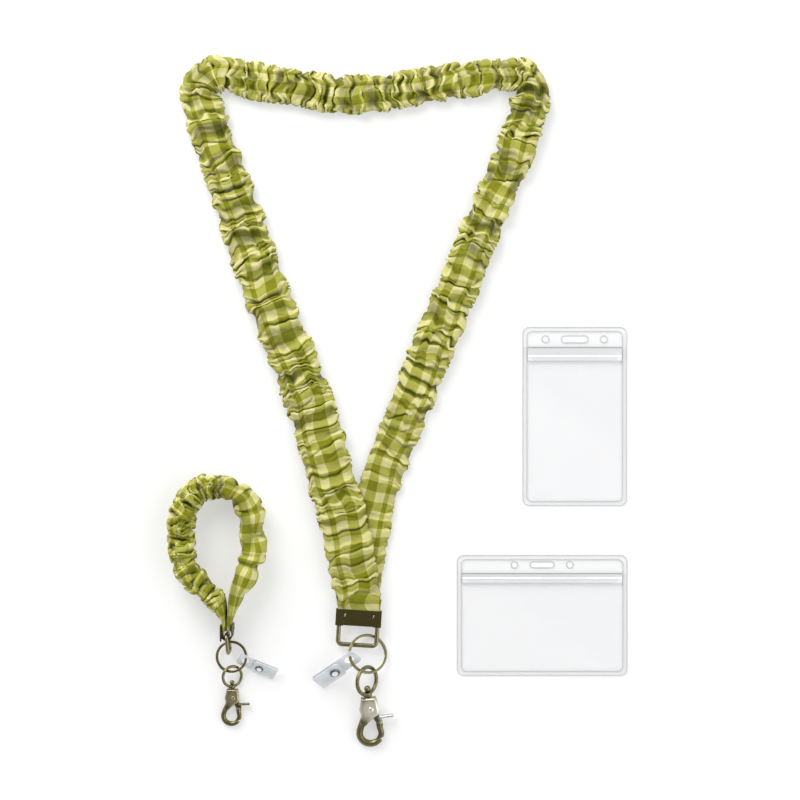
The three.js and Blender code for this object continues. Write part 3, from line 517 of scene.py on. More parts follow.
def tube_object(name, grid, f, girth, depth, seam, material, wall):
    """A mesh of the grid, closed round, open at both ends, with the cloth's coordinates in a UV map."""
    rows, count = grid.shape[:2]
    points = (grid.reshape(-1, 3) + np.array(LAYOUT_SHIFT)) * MM
    r, c = np.meshgrid(np.arange(rows - 1), np.arange(count), indexing="ij")
    after = (c + 1) % count
    row, next_row = r * count, (r + 1) * count
    faces = np.stack([row + c, row + after, next_row + after, next_row + c], -1).reshape(-1, 4)
    mesh = bpy.data.meshes.new(name)
    mesh.from_pydata(points.tolist(), [], faces.tolist())
    x0 = (c / count * girth - seam) % girth
    x1 = x0 + girth / count
    corners = np.stack([x0, f[r], x1, f[r], x1, f[r + 1], x0, f[r + 1]], -1).reshape(-1) * MM
    mesh.uv_layers.new(name="cloth").data.foreach_set("uv", corners)
    # The fold depth of each point, which paints shade in the cloth's creases and highlight on its crests.
    fold = mesh.attributes.new("fold", "FLOAT", "POINT")
    fold.data.foreach_set("value", depth.ravel().astype(np.float32))
    mesh.materials.append(material)
    mesh.shade_smooth()
    holder = bpy.data.objects.new(name, mesh)
    bpy.context.scene.collection.objects.link(holder)
    layer = holder.modifiers.new("cloth_thickness", "SOLIDIFY")
    layer.thickness = wall * MM
    layer.offset = -1
    return holder


NECK_LANE = {"stray": 3, "slant": 0.05, "width": 1.45}
NECK = {
    "route": NECK_ROUTE, "on_edge": False, "seed": 11, "turn_softness": 9, "columns": 64, "step": 0.9,
    "width": 26, "thickness": 8.6, "squareness": 0.72, "gather": 1.7, "even_out": 34, "seam": 7, "twist": 1.1,
    "puff": 0.4, "rise": 2.1, "sink": 4.2, "ridge": 1.0,
    "fullness": ([0, 0.006, 0.02, 0.05, 0.95, 0.985, 1], [0.1, 0.8, 1, 1, 1, 0.7, 0]),
    "lobes": [],
    "lanes": [
        {**NECK_LANE, "round": 15, "half": 20,
         "at": [0, 0.1, 0.15, 0.36, 0.42, 0.66, 0.7, 0.8, 0.86, 1],
         "pitch": [8, 12, 12, 12, 9, 12, 9, 12, 17, 20],
         "turn": [2.7, 2.3, 2.4, 2.5, 2.8, 2.6, 2.7, 2.2, 1.8, 1.0]},
        {**NECK_LANE, "round": 15, "half": 24, "slant": 0, "tilt": 0.1, "width": 2.5,
         "at": [0, 0.36, 0.4, 0.66, 0.7, 1], "pitch": [80, 70, 15, 15, 60, 80],
         "turn": [1.6, 1.8, 2.2, 2.2, 1.8, 0.8]},
        {**NECK_LANE, "round": 47, "half": 20,
         "at": [0, 0.1, 0.9, 1], "pitch": [10, 11, 11, 20],
         "turn": [2.4, 2.4, 2.3, 1.0]},
        {"round": 0, "stray": 2, "half": 9, "slant": 0, "width": 1.3,
         "at": [0, 0.1, 0.86, 1], "pitch": [12, 8, 8.5, 18],
         "turn": [1.9, 2.3, 2.1, 0.8]},
        {"round": 31, "stray": 2, "half": 8, "slant": 0, "width": 1.3,
         "at": [0, 0.1, 0.86, 1], "pitch": [16, 10, 10, 18],
         "turn": [1.6, 2.1, 1.9, 0.8]},
        {"round": 15, "stray": 9, "half": 7, "slant": 0, "tilt": 0.5, "width": 1.0,
         "at": [0, 0.1, 0.9, 1], "pitch": [20, 12, 12, 18],
         "turn": [0.7, 1.1, 1.0, 0.5]},
    ],
}
# Shares of the cloth: clamp, full gathers, end of the crown, plain side, its end, clamp.
WRIST_STAGES = [0, 0.08, 0.80, 0.83, 0.93, 1]
WRIST_LANE = {"stray": 2.0, "slant": 0, "tilt": 0.14, "width": 1.7}
WRIST = {
    "route": WRIST_ROUTE, "on_edge": True, "seed": 5, "turn_softness": 5, "columns": 60, "step": 0.8,
    "width": 21, "thickness": 12.5, "squareness": 0.8, "gather": 2.0, "even_out": 24, "seam": 2, "twist": 2.4,
    "puff": 0.5, "rise": 2.4, "sink": 5.4, "ridge": 2.4,
    "fullness": ([0, 0.02, 0.05, 0.93, 0.98, 1], [0, 0.7, 1, 1, 0.7, 0]),
    "lobes": [(0.655, 8, 4.2, 13, 13), (0.755, 8, 4.5, 13, 13), (0.85, 7.5, 4.1, 13, 13)],
    "lanes": [
        {**WRIST_LANE, "round": 0, "half": 24,
         "at": WRIST_STAGES, "pitch": [7, 5.2, 5.0, 18, 16, 12],
         "turn": [2.6, 3.4, 3.4, 1.0, 1.2, 1.8]},
        {**WRIST_LANE, "round": 15, "half": 12,
         "at": WRIST_STAGES, "pitch": [12, 12, 12, 60, 30, 24],
         "turn": [1.6, 2.3, 2.3, 0.8, 0.8, 0.8]},
        {**WRIST_LANE, "round": 27, "half": 18,
         "at": [0, 0.08, 0.9, 1], "pitch": [9, 8, 11, 14],
         "turn": [2.1, 2.8, 2.5, 1.6]},
        {**WRIST_LANE, "round": 41, "half": 12,
         "at": WRIST_STAGES, "pitch": [12, 12, 12, 14, 13, 20],
         "turn": [1.6, 2.3, 2.3, 1.5, 1.7, 1.0]},
        {**WRIST_LANE, "round": 0, "half": 20, "width": 1.2,
         "at": [0.55, 0.60, 0.80, 0.83], "pitch": [60, 8, 8, 60],
         "turn": [0.5, 3.0, 3.0, 0.5]},
    ],
}


def add_cover(prefix, strap, material):
    path = Path(strap["route"], strap["on_edge"], strap["turn_softness"])
    grid, f, girth, depth = gathered_grid(strap, path)
    cover = tube_object(prefix + "_gathered_cover", grid, f, girth, depth, strap["seam"], material, 0.4)
    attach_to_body(cover, prefix + "_strap")
    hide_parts(prefix + "_cover")


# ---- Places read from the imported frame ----

record = frame["record"]
JOINTS = {joint["name"]: joint for joint in frame["joints"]}
MOUNTS = {mount["name"]: mount for mount in record["mounts"]}


def joint_place(name):
    return Vector(JOINTS[name]["pos_m"]), Vector(JOINTS[name]["axis"]).normalized()


def axes(origin, x, y):
    """A frame with its X along x and its Y as near to y as square axes allow."""
    x = x.normalized()
    z = x.cross(y).normalized()
    y = z.cross(x)
    made = Matrix((x, y, z)).transposed().to_4x4()
    made.translation = origin
    return made


def flat_frame(node):
    """The middle of a node that is flat and even on both sides, and its axes from longest to shortest."""
    points = np.array([v.co for v in frame["nodes"][node].data.vertices], float)
    _, _, rows = np.linalg.svd(points - points.mean(0), full_matrices=False)
    spans = [(points @ row).max() - (points @ row).min() for row in rows]
    middle = sum((((points @ row).max() + (points @ row).min()) / 2) * row for row in rows)
    order = np.argsort(spans)[::-1]
    long_axis, short_axis = Vector(rows[order[0]]), Vector(rows[order[1]])
    return axes(Vector(middle), long_axis, short_axis), [spans[i] for i in order]


# ---- Mesh helpers ----


def link(name, mesh, material):
    mesh.materials.append(material)
    mesh.shade_smooth()
    holder = bpy.data.objects.new(name, mesh)
    bpy.context.scene.collection.objects.link(holder)
    return holder


def circle(radius, count, start=0.0, turn=2 * math.pi, closed=True):
    steps = np.arange(count) / (count if closed else count - 1)
    angle = start + turn * steps
    return np.stack([np.cos(angle) * radius, np.sin(angle) * radius, 0 * angle], 1)


def sweep(name, path, up, half_across, half_up, material, sides=16, closed=True, squareness=1.0):
    """A smooth bar along a path. Its section is a rounded oval, wide across the path and high along up."""
    path = np.array(path, float)
    count = len(path)
    if closed:
        along = np.roll(path, -1, 0) - np.roll(path, 1, 0)
    else:
        along = np.gradient(path, axis=0)
    along /= np.linalg.norm(along, axis=1)[:, None]
    across = np.cross(along, np.array(up, float))
    across /= np.linalg.norm(across, axis=1)[:, None]
    rise = np.cross(across, along)
    angle = (np.arange(sides) + 0.5) / sides * 2 * np.pi
    wide = (powered(np.cos(angle), squareness) * half_across)[None, :, None]
    high = (powered(np.sin(angle), squareness) * half_up)[None, :, None]
    rows = path[:, None] + across[:, None] * wide + rise[:, None] * high
    if not closed:
        taper = ((0.0, 0.55), (0.16, 0.82))
        start, end = (
            [path[i] + (rows[i] - path[i]) * share + sign * along[i] * half_up * (0.4 - far)
             for far, share in taper]
            for i, sign in ((0, -1), (-1, 1))
        )
        rows = np.concatenate([np.array(start), rows, np.array(end[::-1])])
        count = len(rows)
    faces = []
    for r in range(count if closed else count - 1):
        for c in range(sides):
            d = (c + 1) % sides
            n = (r + 1) % count
            faces.append((r * sides + c, r * sides + d, n * sides + d, n * sides + c))
    if not closed:
        faces.append(tuple(range(sides))[::-1])
        faces.append(tuple((count - 1) * sides + c for c in range(sides)))
    mesh = bpy.data.meshes.new(name)
    mesh.from_pydata(rows.reshape(-1, 3).tolist(), [], faces)
    outward(mesh)
    return link(name, mesh, material)


def outward(mesh):
    work = bmesh.new()
    work.from_mesh(mesh)
    bmesh.ops.recalc_face_normals(work, faces=work.faces)
    work.to_mesh(mesh)
    work.free()


def place(holder, matrix):
    """Puts an object's mesh where the matrix says, and leaves the object at the origin."""
    holder.data.transform(matrix)
    return holder


def attach(holder, body, slot, *nodes):
    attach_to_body(holder, body)
    if nodes:
        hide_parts(*nodes)
    return holder


def rounded_rectangle(width, height, radius, centre=(0, 0), steps=10):
    """Points round a rectangle with round corners, anticlockwise."""
    made = []
    for sx, sy, start in ((1, 1, 0), (-1, 1, 90), (-1, -1, 180), (1, -1, 270)):
        middle = (centre[0] + sx * (width / 2 - radius), centre[1] + sy * (height / 2 - radius))
        for i in range(steps + 1):
            angle = math.radians(start + 90 * i / steps)
            made.append((middle[0] + radius * math.cos(angle), middle[1] + radius * math.sin(angle)))
    return made


def plate(name, outlines, low, high, edge, material):
    """A flat sheet with round edges from closed outlines: the first is its rim, the rest are holes."""
    curve = bpy.data.curves.new(name, "CURVE")
    curve.dimensions = "2D"
    curve.fill_mode = "BOTH"
    for outline in outlines:
        spline = curve.splines.new("POLY")
        spline.points.add(len(outline) - 1)
        spline.points.foreach_set("co", [v for x, y in outline for v in (x, y, 0, 1)])
        spline.use_cyclic_u = True
    curve.extrude = (high - low) / 2 - edge
    curve.bevel_depth = edge
    curve.bevel_resolution = 2
    curve.offset = -edge
    holder = bpy.data.objects.new(name, curve)
    bpy.context.scene.collection.objects.link(holder)
    bpy.context.view_layer.update()
    mesh = bpy.data.meshes.new_from_object(holder.evaluated_get(bpy.context.evaluated_depsgraph_get()))
    bpy.data.objects.remove(holder)
    mesh.transform(Matrix.Translation((0, 0, (low + high) / 2)))
    work = bmesh.new()
    work.from_mesh(mesh)
    bmesh.ops.remove_doubles(work, verts=work.verts, dist=1e-6)
    bmesh.ops.recalc_face_normals(work, faces=work.faces)
    work.to_mesh(mesh)
    work.free()
    mesh.materials.clear()
    return link(name, mesh, material)


def joined(name, holders):
    """One object from several, in their own frame."""
    work = bmesh.new()
    for holder in holders:
        work.from_mesh(holder.data)
    mesh = bpy.data.meshes.new(name)
    work.to_mesh(mesh)
    work.free()
    material = holders[0].data.materials[0]
    for holder in holders:
        bpy.data.objects.remove(holder)
    return link(name, mesh, material)


# ---- Metal, vinyl and elastic finishes ----


def worn_metal(name, dark, bright, roughness, wear, polish=None, cloudiness=0.9):
    """Plated metal: a dark patina, brighter where edges and crowns have rubbed, with fine scratches.

    polish is (centre, near, far, colour): the patina is gone within near of the centre, whole beyond far."""
    s = Shader(name)
    where = s.place()
    geometry = s.tree.nodes.new("ShaderNodeNewGeometry")
    rubbed = s.ramp(geometry.outputs["Pointiness"], [(0.47, (0, 0, 0)), (0.56, (1, 1, 1))])
    cloud = s.noise(where, 420, 4, 0.6)
    speck = s.noise(where, 2600, 3, 0.6)
    share = s.math("MULTIPLY", rubbed, wear)
    share = s.math("ADD", share, s.math("MULTIPLY", s.math("SUBTRACT", cloud, 0.42), cloudiness))
    colour = s.mix(s.clamp(share), dark, bright)
    if polish is not None:
        centre, near, far, polished = polish
        off = s.tree.nodes.new("ShaderNodeVectorMath")
        off.operation = "DISTANCE"
        s.put(where, off.inputs[0])
        off.inputs[1].default_value = centre
        ring = s.math("DIVIDE", s.math("SUBTRACT", far, off.outputs["Value"]), far - near)
        colour = s.mix(s.clamp(ring), colour, polished)
    scratch = s.noise(where, 5200, 2, 0.5)
    s.set(
        Base_Color=colour, Metallic=1.0,
        Roughness=s.math("ADD", s.centred(speck, 0.25), roughness),
        Normal=s.bump(scratch, 0.012 * MM, 0.6, s.bump(cloud, 0.05 * MM, 0.5)),
    )
    return s.material


# Painted sheen: the pocket films' diagonal sheen is painted into their opacity.
SHEEN_WIDTH = 16 * MM  # over how far the diagonal sheen fades


def clear_vinyl(name, tint, body, edge, gloss_roughness, rim=None, sheen=None):
    """A clear flexible film: see-through, denser by edge where it is seen edge on, with a glossy skin.

    rim is the colour of an edge-on surface, painted shade on the edges. sheen is (centre, amount): painted sheen,
    the film made denser by amount on the upper right of a soft diagonal through the centre."""
    s = Shader(name)
    where = s.place()
    fresnel = s.tree.nodes.new("ShaderNodeLayerWeight")
    fresnel.inputs["Blend"].default_value = 0.35
    ripple = s.noise(where, 28, 1, 0.4)
    cover = s.math("ADD", body, s.math("MULTIPLY", fresnel.outputs["Facing"], edge))
    # Painted sheen: the film turns more opaque and greyer on the upper right of a soft diagonal.
    if sheen is not None:
        centre, amount = sheen
        x, y, _ = s.split(where)
        rise = s.math("MULTIPLY", s.math("SUBTRACT", y, centre[1]), 0.82)
        side = s.math("MULTIPLY", s.math("SUBTRACT", x, centre[0]), 0.57)
        share = s.math("ADD", s.math("DIVIDE", s.math("ADD", rise, side), SHEEN_WIDTH), 0.5)
        cover = s.math("ADD", cover, s.math("MULTIPLY", s.clamp(share), amount))
    colour = (*tint, 1)
    # Painted shade: where the film is seen edge on, its colour turns to the dark rim colour; elsewhere it keeps a
    # cloudy tone.
    if rim is not None:
        cloud = s.ramp(s.noise(where, 160, 2, 0.5), [(0.38, tuple(0.86 * v for v in tint)), (0.62, tint)])
        edge_on = s.math("MAXIMUM", s.math("SUBTRACT", fresnel.outputs["Facing"], 0.35), 0.0)
        colour = s.mix(s.math("MINIMUM", s.math("MULTIPLY", edge_on, 2.0), 1.0), cloud, rim)
    s.set(
        Base_Color=colour, Roughness=gloss_roughness, IOR=1.5, Alpha=cover,
        Coat_Weight=0.35, Coat_Roughness=0.08, Normal=s.bump(ripple, 0.3 * MM, 0.25),
    )
    return s.material


def woven_elastic():
    """Ribbed white elastic webbing."""
    s = Shader("woven_elastic")
    x, y, _ = s.split(s.place())
    rib = s.math("SINE", s.math("MULTIPLY", s.math("ADD", x, y), 2 * math.pi / (0.9 * MM)))
    yarn = s.noise(s.place(), 1500, 3, 0.6)
    s.set(
        Base_Color=s.ramp(yarn, [(0.2, srgb(214, 210, 198)), (0.8, srgb(244, 242, 234))]),
        Roughness=0.85, Sheen_Weight=0.3, Normal=s.bump(s.math("ADD", rib, yarn), 0.08 * MM, 0.8),
    )
    return s.material


# ---- Clear card pockets ----

UPRIGHT_POCKET = {
    "mouth": 12.6, "zip_drop": (4.8, 9.2), "slot": (16.7, 4.4), "slot_drop": 7.8, "hole": 3.6, "span": 36.4,
}
LANDSCAPE_POCKET = {
    "mouth": 11.2, "zip_drop": (2.4, 6.8), "slot": (15.0, 3.8), "slot_drop": 6.2, "hole": 3.4, "span": 34.6,
}
POCKET_CORNER = 4.4
POCKET_SHEET = 0.45
POCKET_ROOF = 2.05  # height of the front sheet over the card room
FILM_SHOULDER = 1.3  # how wide the bend beside the weld is
FILM_SWELL = 0.16  # how much the front sheet waves
WELD_INSET = 2.9
WELD_CORNER = 3.2


def bead(name, outline, height, across, up, material):
    path = [(x, y, height) for x, y in outline]
    return sweep(name, path, (0, 0, 1), across, up, material, sides=8, squareness=0.8)


def front_film(name, width, height, lip, foot, roof, material):
    """The front sheet as one skin: welded down round three sides, standing off over the card room."""
    across, along = 82, 76
    u = np.linspace(-1, 1, across)
    x = np.sign(u) * (1 - (1 - np.abs(u)) ** 1.7) * width / 2
    low_y = -height / 2
    y = low_y + np.linspace(0, 1, along) ** 1.5 * (lip - low_y)
    gx, gy = np.meshgrid(x, y)
    off = np.minimum(width / 2 - np.abs(gx), gy - low_y)
    room = np.maximum(0, off - WELD_INSET)
    lift = (roof - foot) * (1 - np.exp(-room / FILM_SHOULDER))
    swell = FILM_SWELL * np.sin(gx * 0.07 + 0.6) * np.sin(gy * 0.06 + 1.1) * (1 - np.exp(-room / 5))
    # The two lower corners are round.
    away_x = np.abs(gx) - (width / 2 - POCKET_CORNER)
    away_y = (low_y + POCKET_CORNER) - gy
    reach = np.hypot(away_x, away_y)
    outside = (away_x > 0) & (away_y > 0) & (reach > POCKET_CORNER)
    pull = np.where(outside, POCKET_CORNER / np.maximum(reach, 0.01), 1.0)
    gx = np.sign(gx) * np.where(away_x > 0, width / 2 - POCKET_CORNER + away_x * pull, np.abs(gx))
    gy = np.where(away_y > 0, low_y + POCKET_CORNER - away_y * pull, gy)
    points = np.stack([gx, gy, foot + lift + swell], -1).reshape(-1, 3)
    faces = [
        (r * across + c, r * across + c + 1, (r + 1) * across + c + 1, (r + 1) * across + c)
        for r in range(along - 1) for c in range(across - 1)
    ]
    mesh = bpy.data.meshes.new(name)
    mesh.from_pydata(points.tolist(), [], faces)
    return link(name, mesh, material)


def add_pocket(prefix, p, film, weld, hem, band, ridge, lip_painted_shade):
    low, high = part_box(prefix + "_back_sheet")
    width, height = (high.x - low.x) / MM, (high.y - low.y) / MM
    where = Matrix.Translation(((low.x + high.x) / 2, (low.y + high.y) / 2, low.z)) @ Matrix.Scale(MM, 4)
    top = height / 2
    slot_middle = (0, top - p["slot_drop"])
    slot = rounded_rectangle(*p["slot"], p["slot"][1] / 2 - 0.05, slot_middle)
    hole = lambda side, radius: [
        (x + side * p["span"] / 2, y + slot_middle[1]) for x, y, _ in circle(radius, 28)
    ]
    holes = [hole(side, p["hole"] / 2) for side in (-1, 1)]
    rim = rounded_rectangle(width, height, POCKET_CORNER)

    def seat(piece, *nodes):
        attach(place(piece, where), prefix, "pocket_vinyl", *nodes)

    back = plate(prefix + "_back_film", [rim, slot, *holes], 0, POCKET_SHEET, 0.16, film)
    seat(back, prefix + "_back_sheet")

    lip = top - p["mouth"]
    foot, roof = POCKET_SHEET + 0.02, POCKET_ROOF
    inner_width = width - 2 * WELD_INSET
    # Painted sheen across the front sheet, centred on the pocket.
    sheen = (tuple((low + high) / 2), 0.05)
    sheet = clear_vinyl(prefix + "_sheet", FILM_TINT, FILM_BODY, 0.05, 0.14, sheen=sheen)
    front = front_film(prefix + "_front_film", width - 0.3, height - 0.3, lip, foot + 0.1, roof, sheet)
    seat(front, prefix + "_front_sheet")

    slot_width, slot_height = p["slot"]
    edge_line = rounded_rectangle(width - 0.7, height - 0.7, POCKET_CORNER - 0.35)
    weld_line = rounded_rectangle(inner_width, height - 2 * WELD_INSET, WELD_CORNER)
    slot_line = rounded_rectangle(slot_width - 0.1, slot_height - 0.1, slot_height / 2 - 0.1, slot_middle)
    outer = bead("edge", edge_line, 0.45, 0.30, 0.42, weld)
    inner = bead("weld", weld_line, 0.75, 0.36, 0.30, weld)
    slot_ring = bead("slot", slot_line, 0.4, 0.36, 0.34, weld)
    rings = [bead("eyelet", hole(side, p["hole"] / 2 + 0.35), 0.4, 0.4, 0.36, weld) for side in (-1, 1)]
    welds = joined(prefix + "_welds", [outer, inner, slot_ring, *rings])
    seat(welds)

    half = inner_width / 2 - 0.5
    high_line, low_line = (lip - drop for drop in p["zip_drop"])
    middle = (high_line + low_line) / 2

    def strip(name, y_low, y_high, z_low, z_high, finish=weld):
        tall, centre = y_high - y_low, (0, (y_low + y_high) / 2)
        outline = rounded_rectangle(2 * half, tall, min(0.25, tall / 2.5), centre, 4)
        return plate(name, [outline], z_low, z_high, min(0.08, (z_high - z_low) / 3), finish)

    groove = joined(prefix + "_zip_channel", [
        strip("floor", low_line, high_line, 0.5, 0.74, band),
        strip("wall", middle + 0.62, middle + 1.02, 0.7, 1.4),
        strip("wall", middle - 1.02, middle - 0.62, 0.7, 1.4),
    ])
    seat(groove, prefix + "_zip_groove")
    rib = joined(prefix + "_zip_bead", [
        strip("roof", low_line, high_line, 1.68, 1.9, band),
        strip("rib", middle - 0.3, middle + 0.3, 1.05, 1.72),
    ])
    seat(rib, prefix + "_zip_rib")
    foot_line = strip(prefix + "_zip_foot", low_line, low_line + 0.7, 1.6, 2.0)
    seat(foot_line)
    crest = strip(prefix + "_zip_crest", high_line - 1.5, high_line - 0.1, 1.92, 2.1, ridge)
    seat(crest)
    fold = strip(prefix + "_lip_hem", high_line, lip - 0.1, roof + 0.02, roof + 0.2, hem)
    seat(fold)
    # A dark strip of painted shade along the pocket's mouth.
    edge = strip(prefix + "_lip_edge", lip - 0.7, lip, roof + 0.12, roof + 0.42, lip_painted_shade)
    seat(edge)


# ---- Fob hardware ----


def weld_corners(holder):
    """Joins the corners that each facet of a CAD mesh keeps for itself."""
    corners = holder.modifiers.new("corners", "WELD")
    corners.merge_threshold = 0.002 * MM


def refine(node, voxel, rounds, material, soften_first=0):
    """Rounds the cast edges of a CAD node with modifiers, and gives it its metal."""
    holder = frame["nodes"][node]
    weld_corners(holder)
    if soften_first:
        first = holder.modifiers.new("facets", "SUBSURF")
        first.levels = first.render_levels = soften_first
    cast = holder.modifiers.new("cast", "REMESH")
    cast.mode = "VOXEL"
    cast.voxel_size = voxel * MM
    cast.use_smooth_shade = True
    tumble = holder.modifiers.new("tumbled", "SMOOTH")
    tumble.factor = 0.5
    tumble.iterations = rounds
    paint(holder, material)
    return holder


def paint(holder, material):
    holder.data.materials.clear()
    holder.data.materials.append(material)


def add_split_ring(prefix, material, wire_across=1.6, wire_up=0.85, spacing=1.0):
    """Two flat turns of wire with a crossover, as the CAD ring's own frame places them."""
    node = prefix + "_split_ring"
    where, spans = flat_frame(node)
    normal = where.to_3x3().col[2].copy()
    if normal.z < 0:
        normal = -normal
    along = Vector((0, 1, -normal.y / normal.z)).normalized()
    across = along.cross(normal).normalized()
    where = axes(where.translation, across, along)
    radius = (spans[0] / MM - 1.4) / 2
    angles = np.radians(np.arange(0, 676, 4.5))
    climb = smooth_step((np.degrees(angles) - 320) / 40) - 0.5
    path = np.stack([np.cos(angles) * radius, np.sin(angles) * radius, climb * spacing], 1)
    ring = sweep(prefix + "_key_ring", path, (0, 0, 1), wire_across / 2, wire_up / 2, material,
                 closed=False, squareness=0.6)
    attach(place(ring, where @ Matrix.Scale(MM, 4)), prefix + "_ring", "antique_bronze", node)


LOOP_CLEARANCE = 0.2  # how much thinner than packed the wire is, to stay clear at the ends of its swing


def add_rect_loop(prefix, wire, corner, material):
    node = prefix + "_rect_loop"
    where, spans = flat_frame(node)
    outline = rounded_rectangle(spans[0] / MM - wire, spans[1] / MM - wire, corner, steps=12)
    wire -= LOOP_CLEARANCE
    path = []
    for (x0, y0), (x1, y1) in zip(outline, outline[1:] + outline[:1]):
        steps = max(1, int(math.hypot(x1 - x0, y1 - y0) / 1.2))
        path += [(x0 + (x1 - x0) * i / steps, y0 + (y1 - y0) * i / steps, 0) for i in range(steps)]
    loop = sweep(prefix + "_loop_wire", path, (0, 0, 1), wire / 2, wire / 2, material, 18, True, 0.9)
    attach(place(loop, where @ Matrix.Scale(MM, 4)), prefix + "_loop", "antique_bronze", node)


CLIP = {"width": 11.5, "sheet": 0.8, "fold": 24.7, "tail": 6.0, "ring_hole": 3.2, "snap_at": 12.1,
        "flap_end": 6.4, "fold_radius": 1.0, "fold_gap": 1.5, "snap_hole": 1.5}


def add_clip(prefix, scale, material):
    """One strip of clear vinyl: cut flat with its holes, then folded back over itself."""
    strap, flap = prefix + "_clip_strap", prefix + "_clip_flap"
    strap_frame, _ = flat_frame(strap)
    fold, _ = joint_place(prefix + "_flap_open")
    along, _, up = (strap_frame.to_3x3().col[i].copy() for i in range(3))
    along *= math.copysign(1, along.dot(fold - strap_frame.translation))
    up *= math.copysign(1, up.dot(fold - strap_frame.translation))
    # The strap's plate runs from its tail to just short of the fold.
    plate_middle = (CLIP["fold"] - CLIP["fold_gap"] - CLIP["tail"]) / 2
    hole = strap_frame.translation - along * plate_middle * scale * MM
    where = axes(hole, along, up.cross(along)) @ Matrix.Scale(MM * scale, 4)
    bend_length = math.pi * CLIP["fold_radius"]
    flat_end = CLIP["fold"] + bend_length + (CLIP["fold"] - CLIP["flap_end"])
    back = CLIP["fold"] + bend_length + (CLIP["fold"] - CLIP["snap_at"])
    strip_middle = ((flat_end - CLIP["tail"]) / 2, 0)
    outline = rounded_rectangle(flat_end + CLIP["tail"], CLIP["width"], 2.4, strip_middle)
    hole_at = lambda x_at, radius: [(x + x_at, y) for x, y, _ in circle(radius, 28)]
    half = CLIP["sheet"] / 2
    holes = [hole_at(0, CLIP["ring_hole"])] + [hole_at(x, CLIP["snap_hole"]) for x in (CLIP["snap_at"], back)]
    strip = plate(prefix + "_vinyl_clip", [outline, *holes], -half, half, 0.22, material)
    work = bmesh.new()
    work.from_mesh(strip.data)
    cuts = [CLIP["fold"] + bend_length * i / 12 for i in range(13)]
    for cut in cuts + [6.0, 18.0, CLIP["fold"] + bend_length + 8]:
        everything = work.verts[:] + work.edges[:] + work.faces[:]
        bmesh.ops.bisect_plane(work, geom=everything, plane_co=(cut, 0, 0), plane_no=(1, 0, 0))
    radius = CLIP["fold_radius"]
    for vertex in work.verts:
        beyond = vertex.co.x - CLIP["fold"]
        if beyond > 0:
            angle = min(beyond / radius, math.pi)
            rest = max(0.0, beyond - bend_length)
            reach = radius - vertex.co.z
            vertex.co.x = CLIP["fold"] + math.sin(angle) * reach - rest
            vertex.co.z = radius - math.cos(angle) * reach
    work.to_mesh(strip.data)
    work.free()
    place(strip, where)
    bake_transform(strip)
    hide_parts(strap, flap)


def lever_middle(prefix):
    """The middle of the trigger's lever, from the hook's own axes."""
    rivet, press = joint_place(prefix + "_trigger_press")
    _, along = joint_place(prefix + "_hook_swivel")
    pivot, _ = joint_place(prefix + "_loop_swing")
    along *= math.copysign(1, along.dot(pivot - rivet))
    side = along.cross(-press)
    return tuple(rivet + side * 9.6 * MM - along * 5.3 * MM)


def add_spring(prefix, steel):
    """The return spring, which the trigger presses flat against the side that it turns towards."""
    node = prefix + "_trigger_spring"
    mesh = frame["nodes"][node].data.copy()
    mesh.materials.clear()
    spring = link(prefix + "_coil", mesh, steel)
    weld_corners(spring)
    coil = spring.modifiers.new("round", "SUBSURF")
    coil.levels = coil.render_levels = 2
    attach(spring, prefix + "_hook", "spring_steel", node)
    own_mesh(spring)


CLAMPS = {
    "neck": {"width": 28.5, "height": 10.3, "inner": 2.3, "outer": 3.2},
    "wrist": {"width": 21.0, "height": 10.0, "inner": 3.0, "outer": 3.8},
}
TOOTH_DROP = 3.6  # from the clamp's upper edge to a tooth's middle


def add_clamp_teeth(prefix, clamp, dull, bright):
    """The two punched tongues behind the clamp's windows, each with a bright torn barb."""
    pivot, bar = joint_place(prefix + "_loop_swing")
    face = Vector(MOUNTS[prefix + "_clamp_face"]["axis"])
    where = axes(pivot, bar, face.cross(bar)) @ Matrix.Scale(MM, 4)
    y = clamp["height"] - clamp["outer"] - TOOTH_DROP
    tongues, barbs = [], []
    for side in (-1, 1):
        x = side * 0.31 * clamp["width"]
        tongue = [(x - 1.7, y - 1.3), (x + 1.7, y - 1.3), (x + 0.2, y + 1.8), (x - 0.2, y + 1.8)]
        barb = [(x - 0.5, y - 0.9), (x + 0.5, y - 0.8), (x + 0.9, y + 1.0), (x + 0.5, y + 0.9)]
        tongues.append(plate("tongue", [tongue], clamp["inner"] - 0.25, clamp["inner"] + 0.15, 0.08, dull))
        barbs.append(plate("barb", [barb], clamp["inner"] + 0.1, clamp["outer"] + 0.25, 0.12, bright))
    attach(place(joined(prefix + "_clamp_tongues", tongues), where), prefix + "_strap", "antique_bronze")
    attach(place(joined(prefix + "_clamp_barbs", barbs), where), prefix + "_strap", "brushed_bronze")


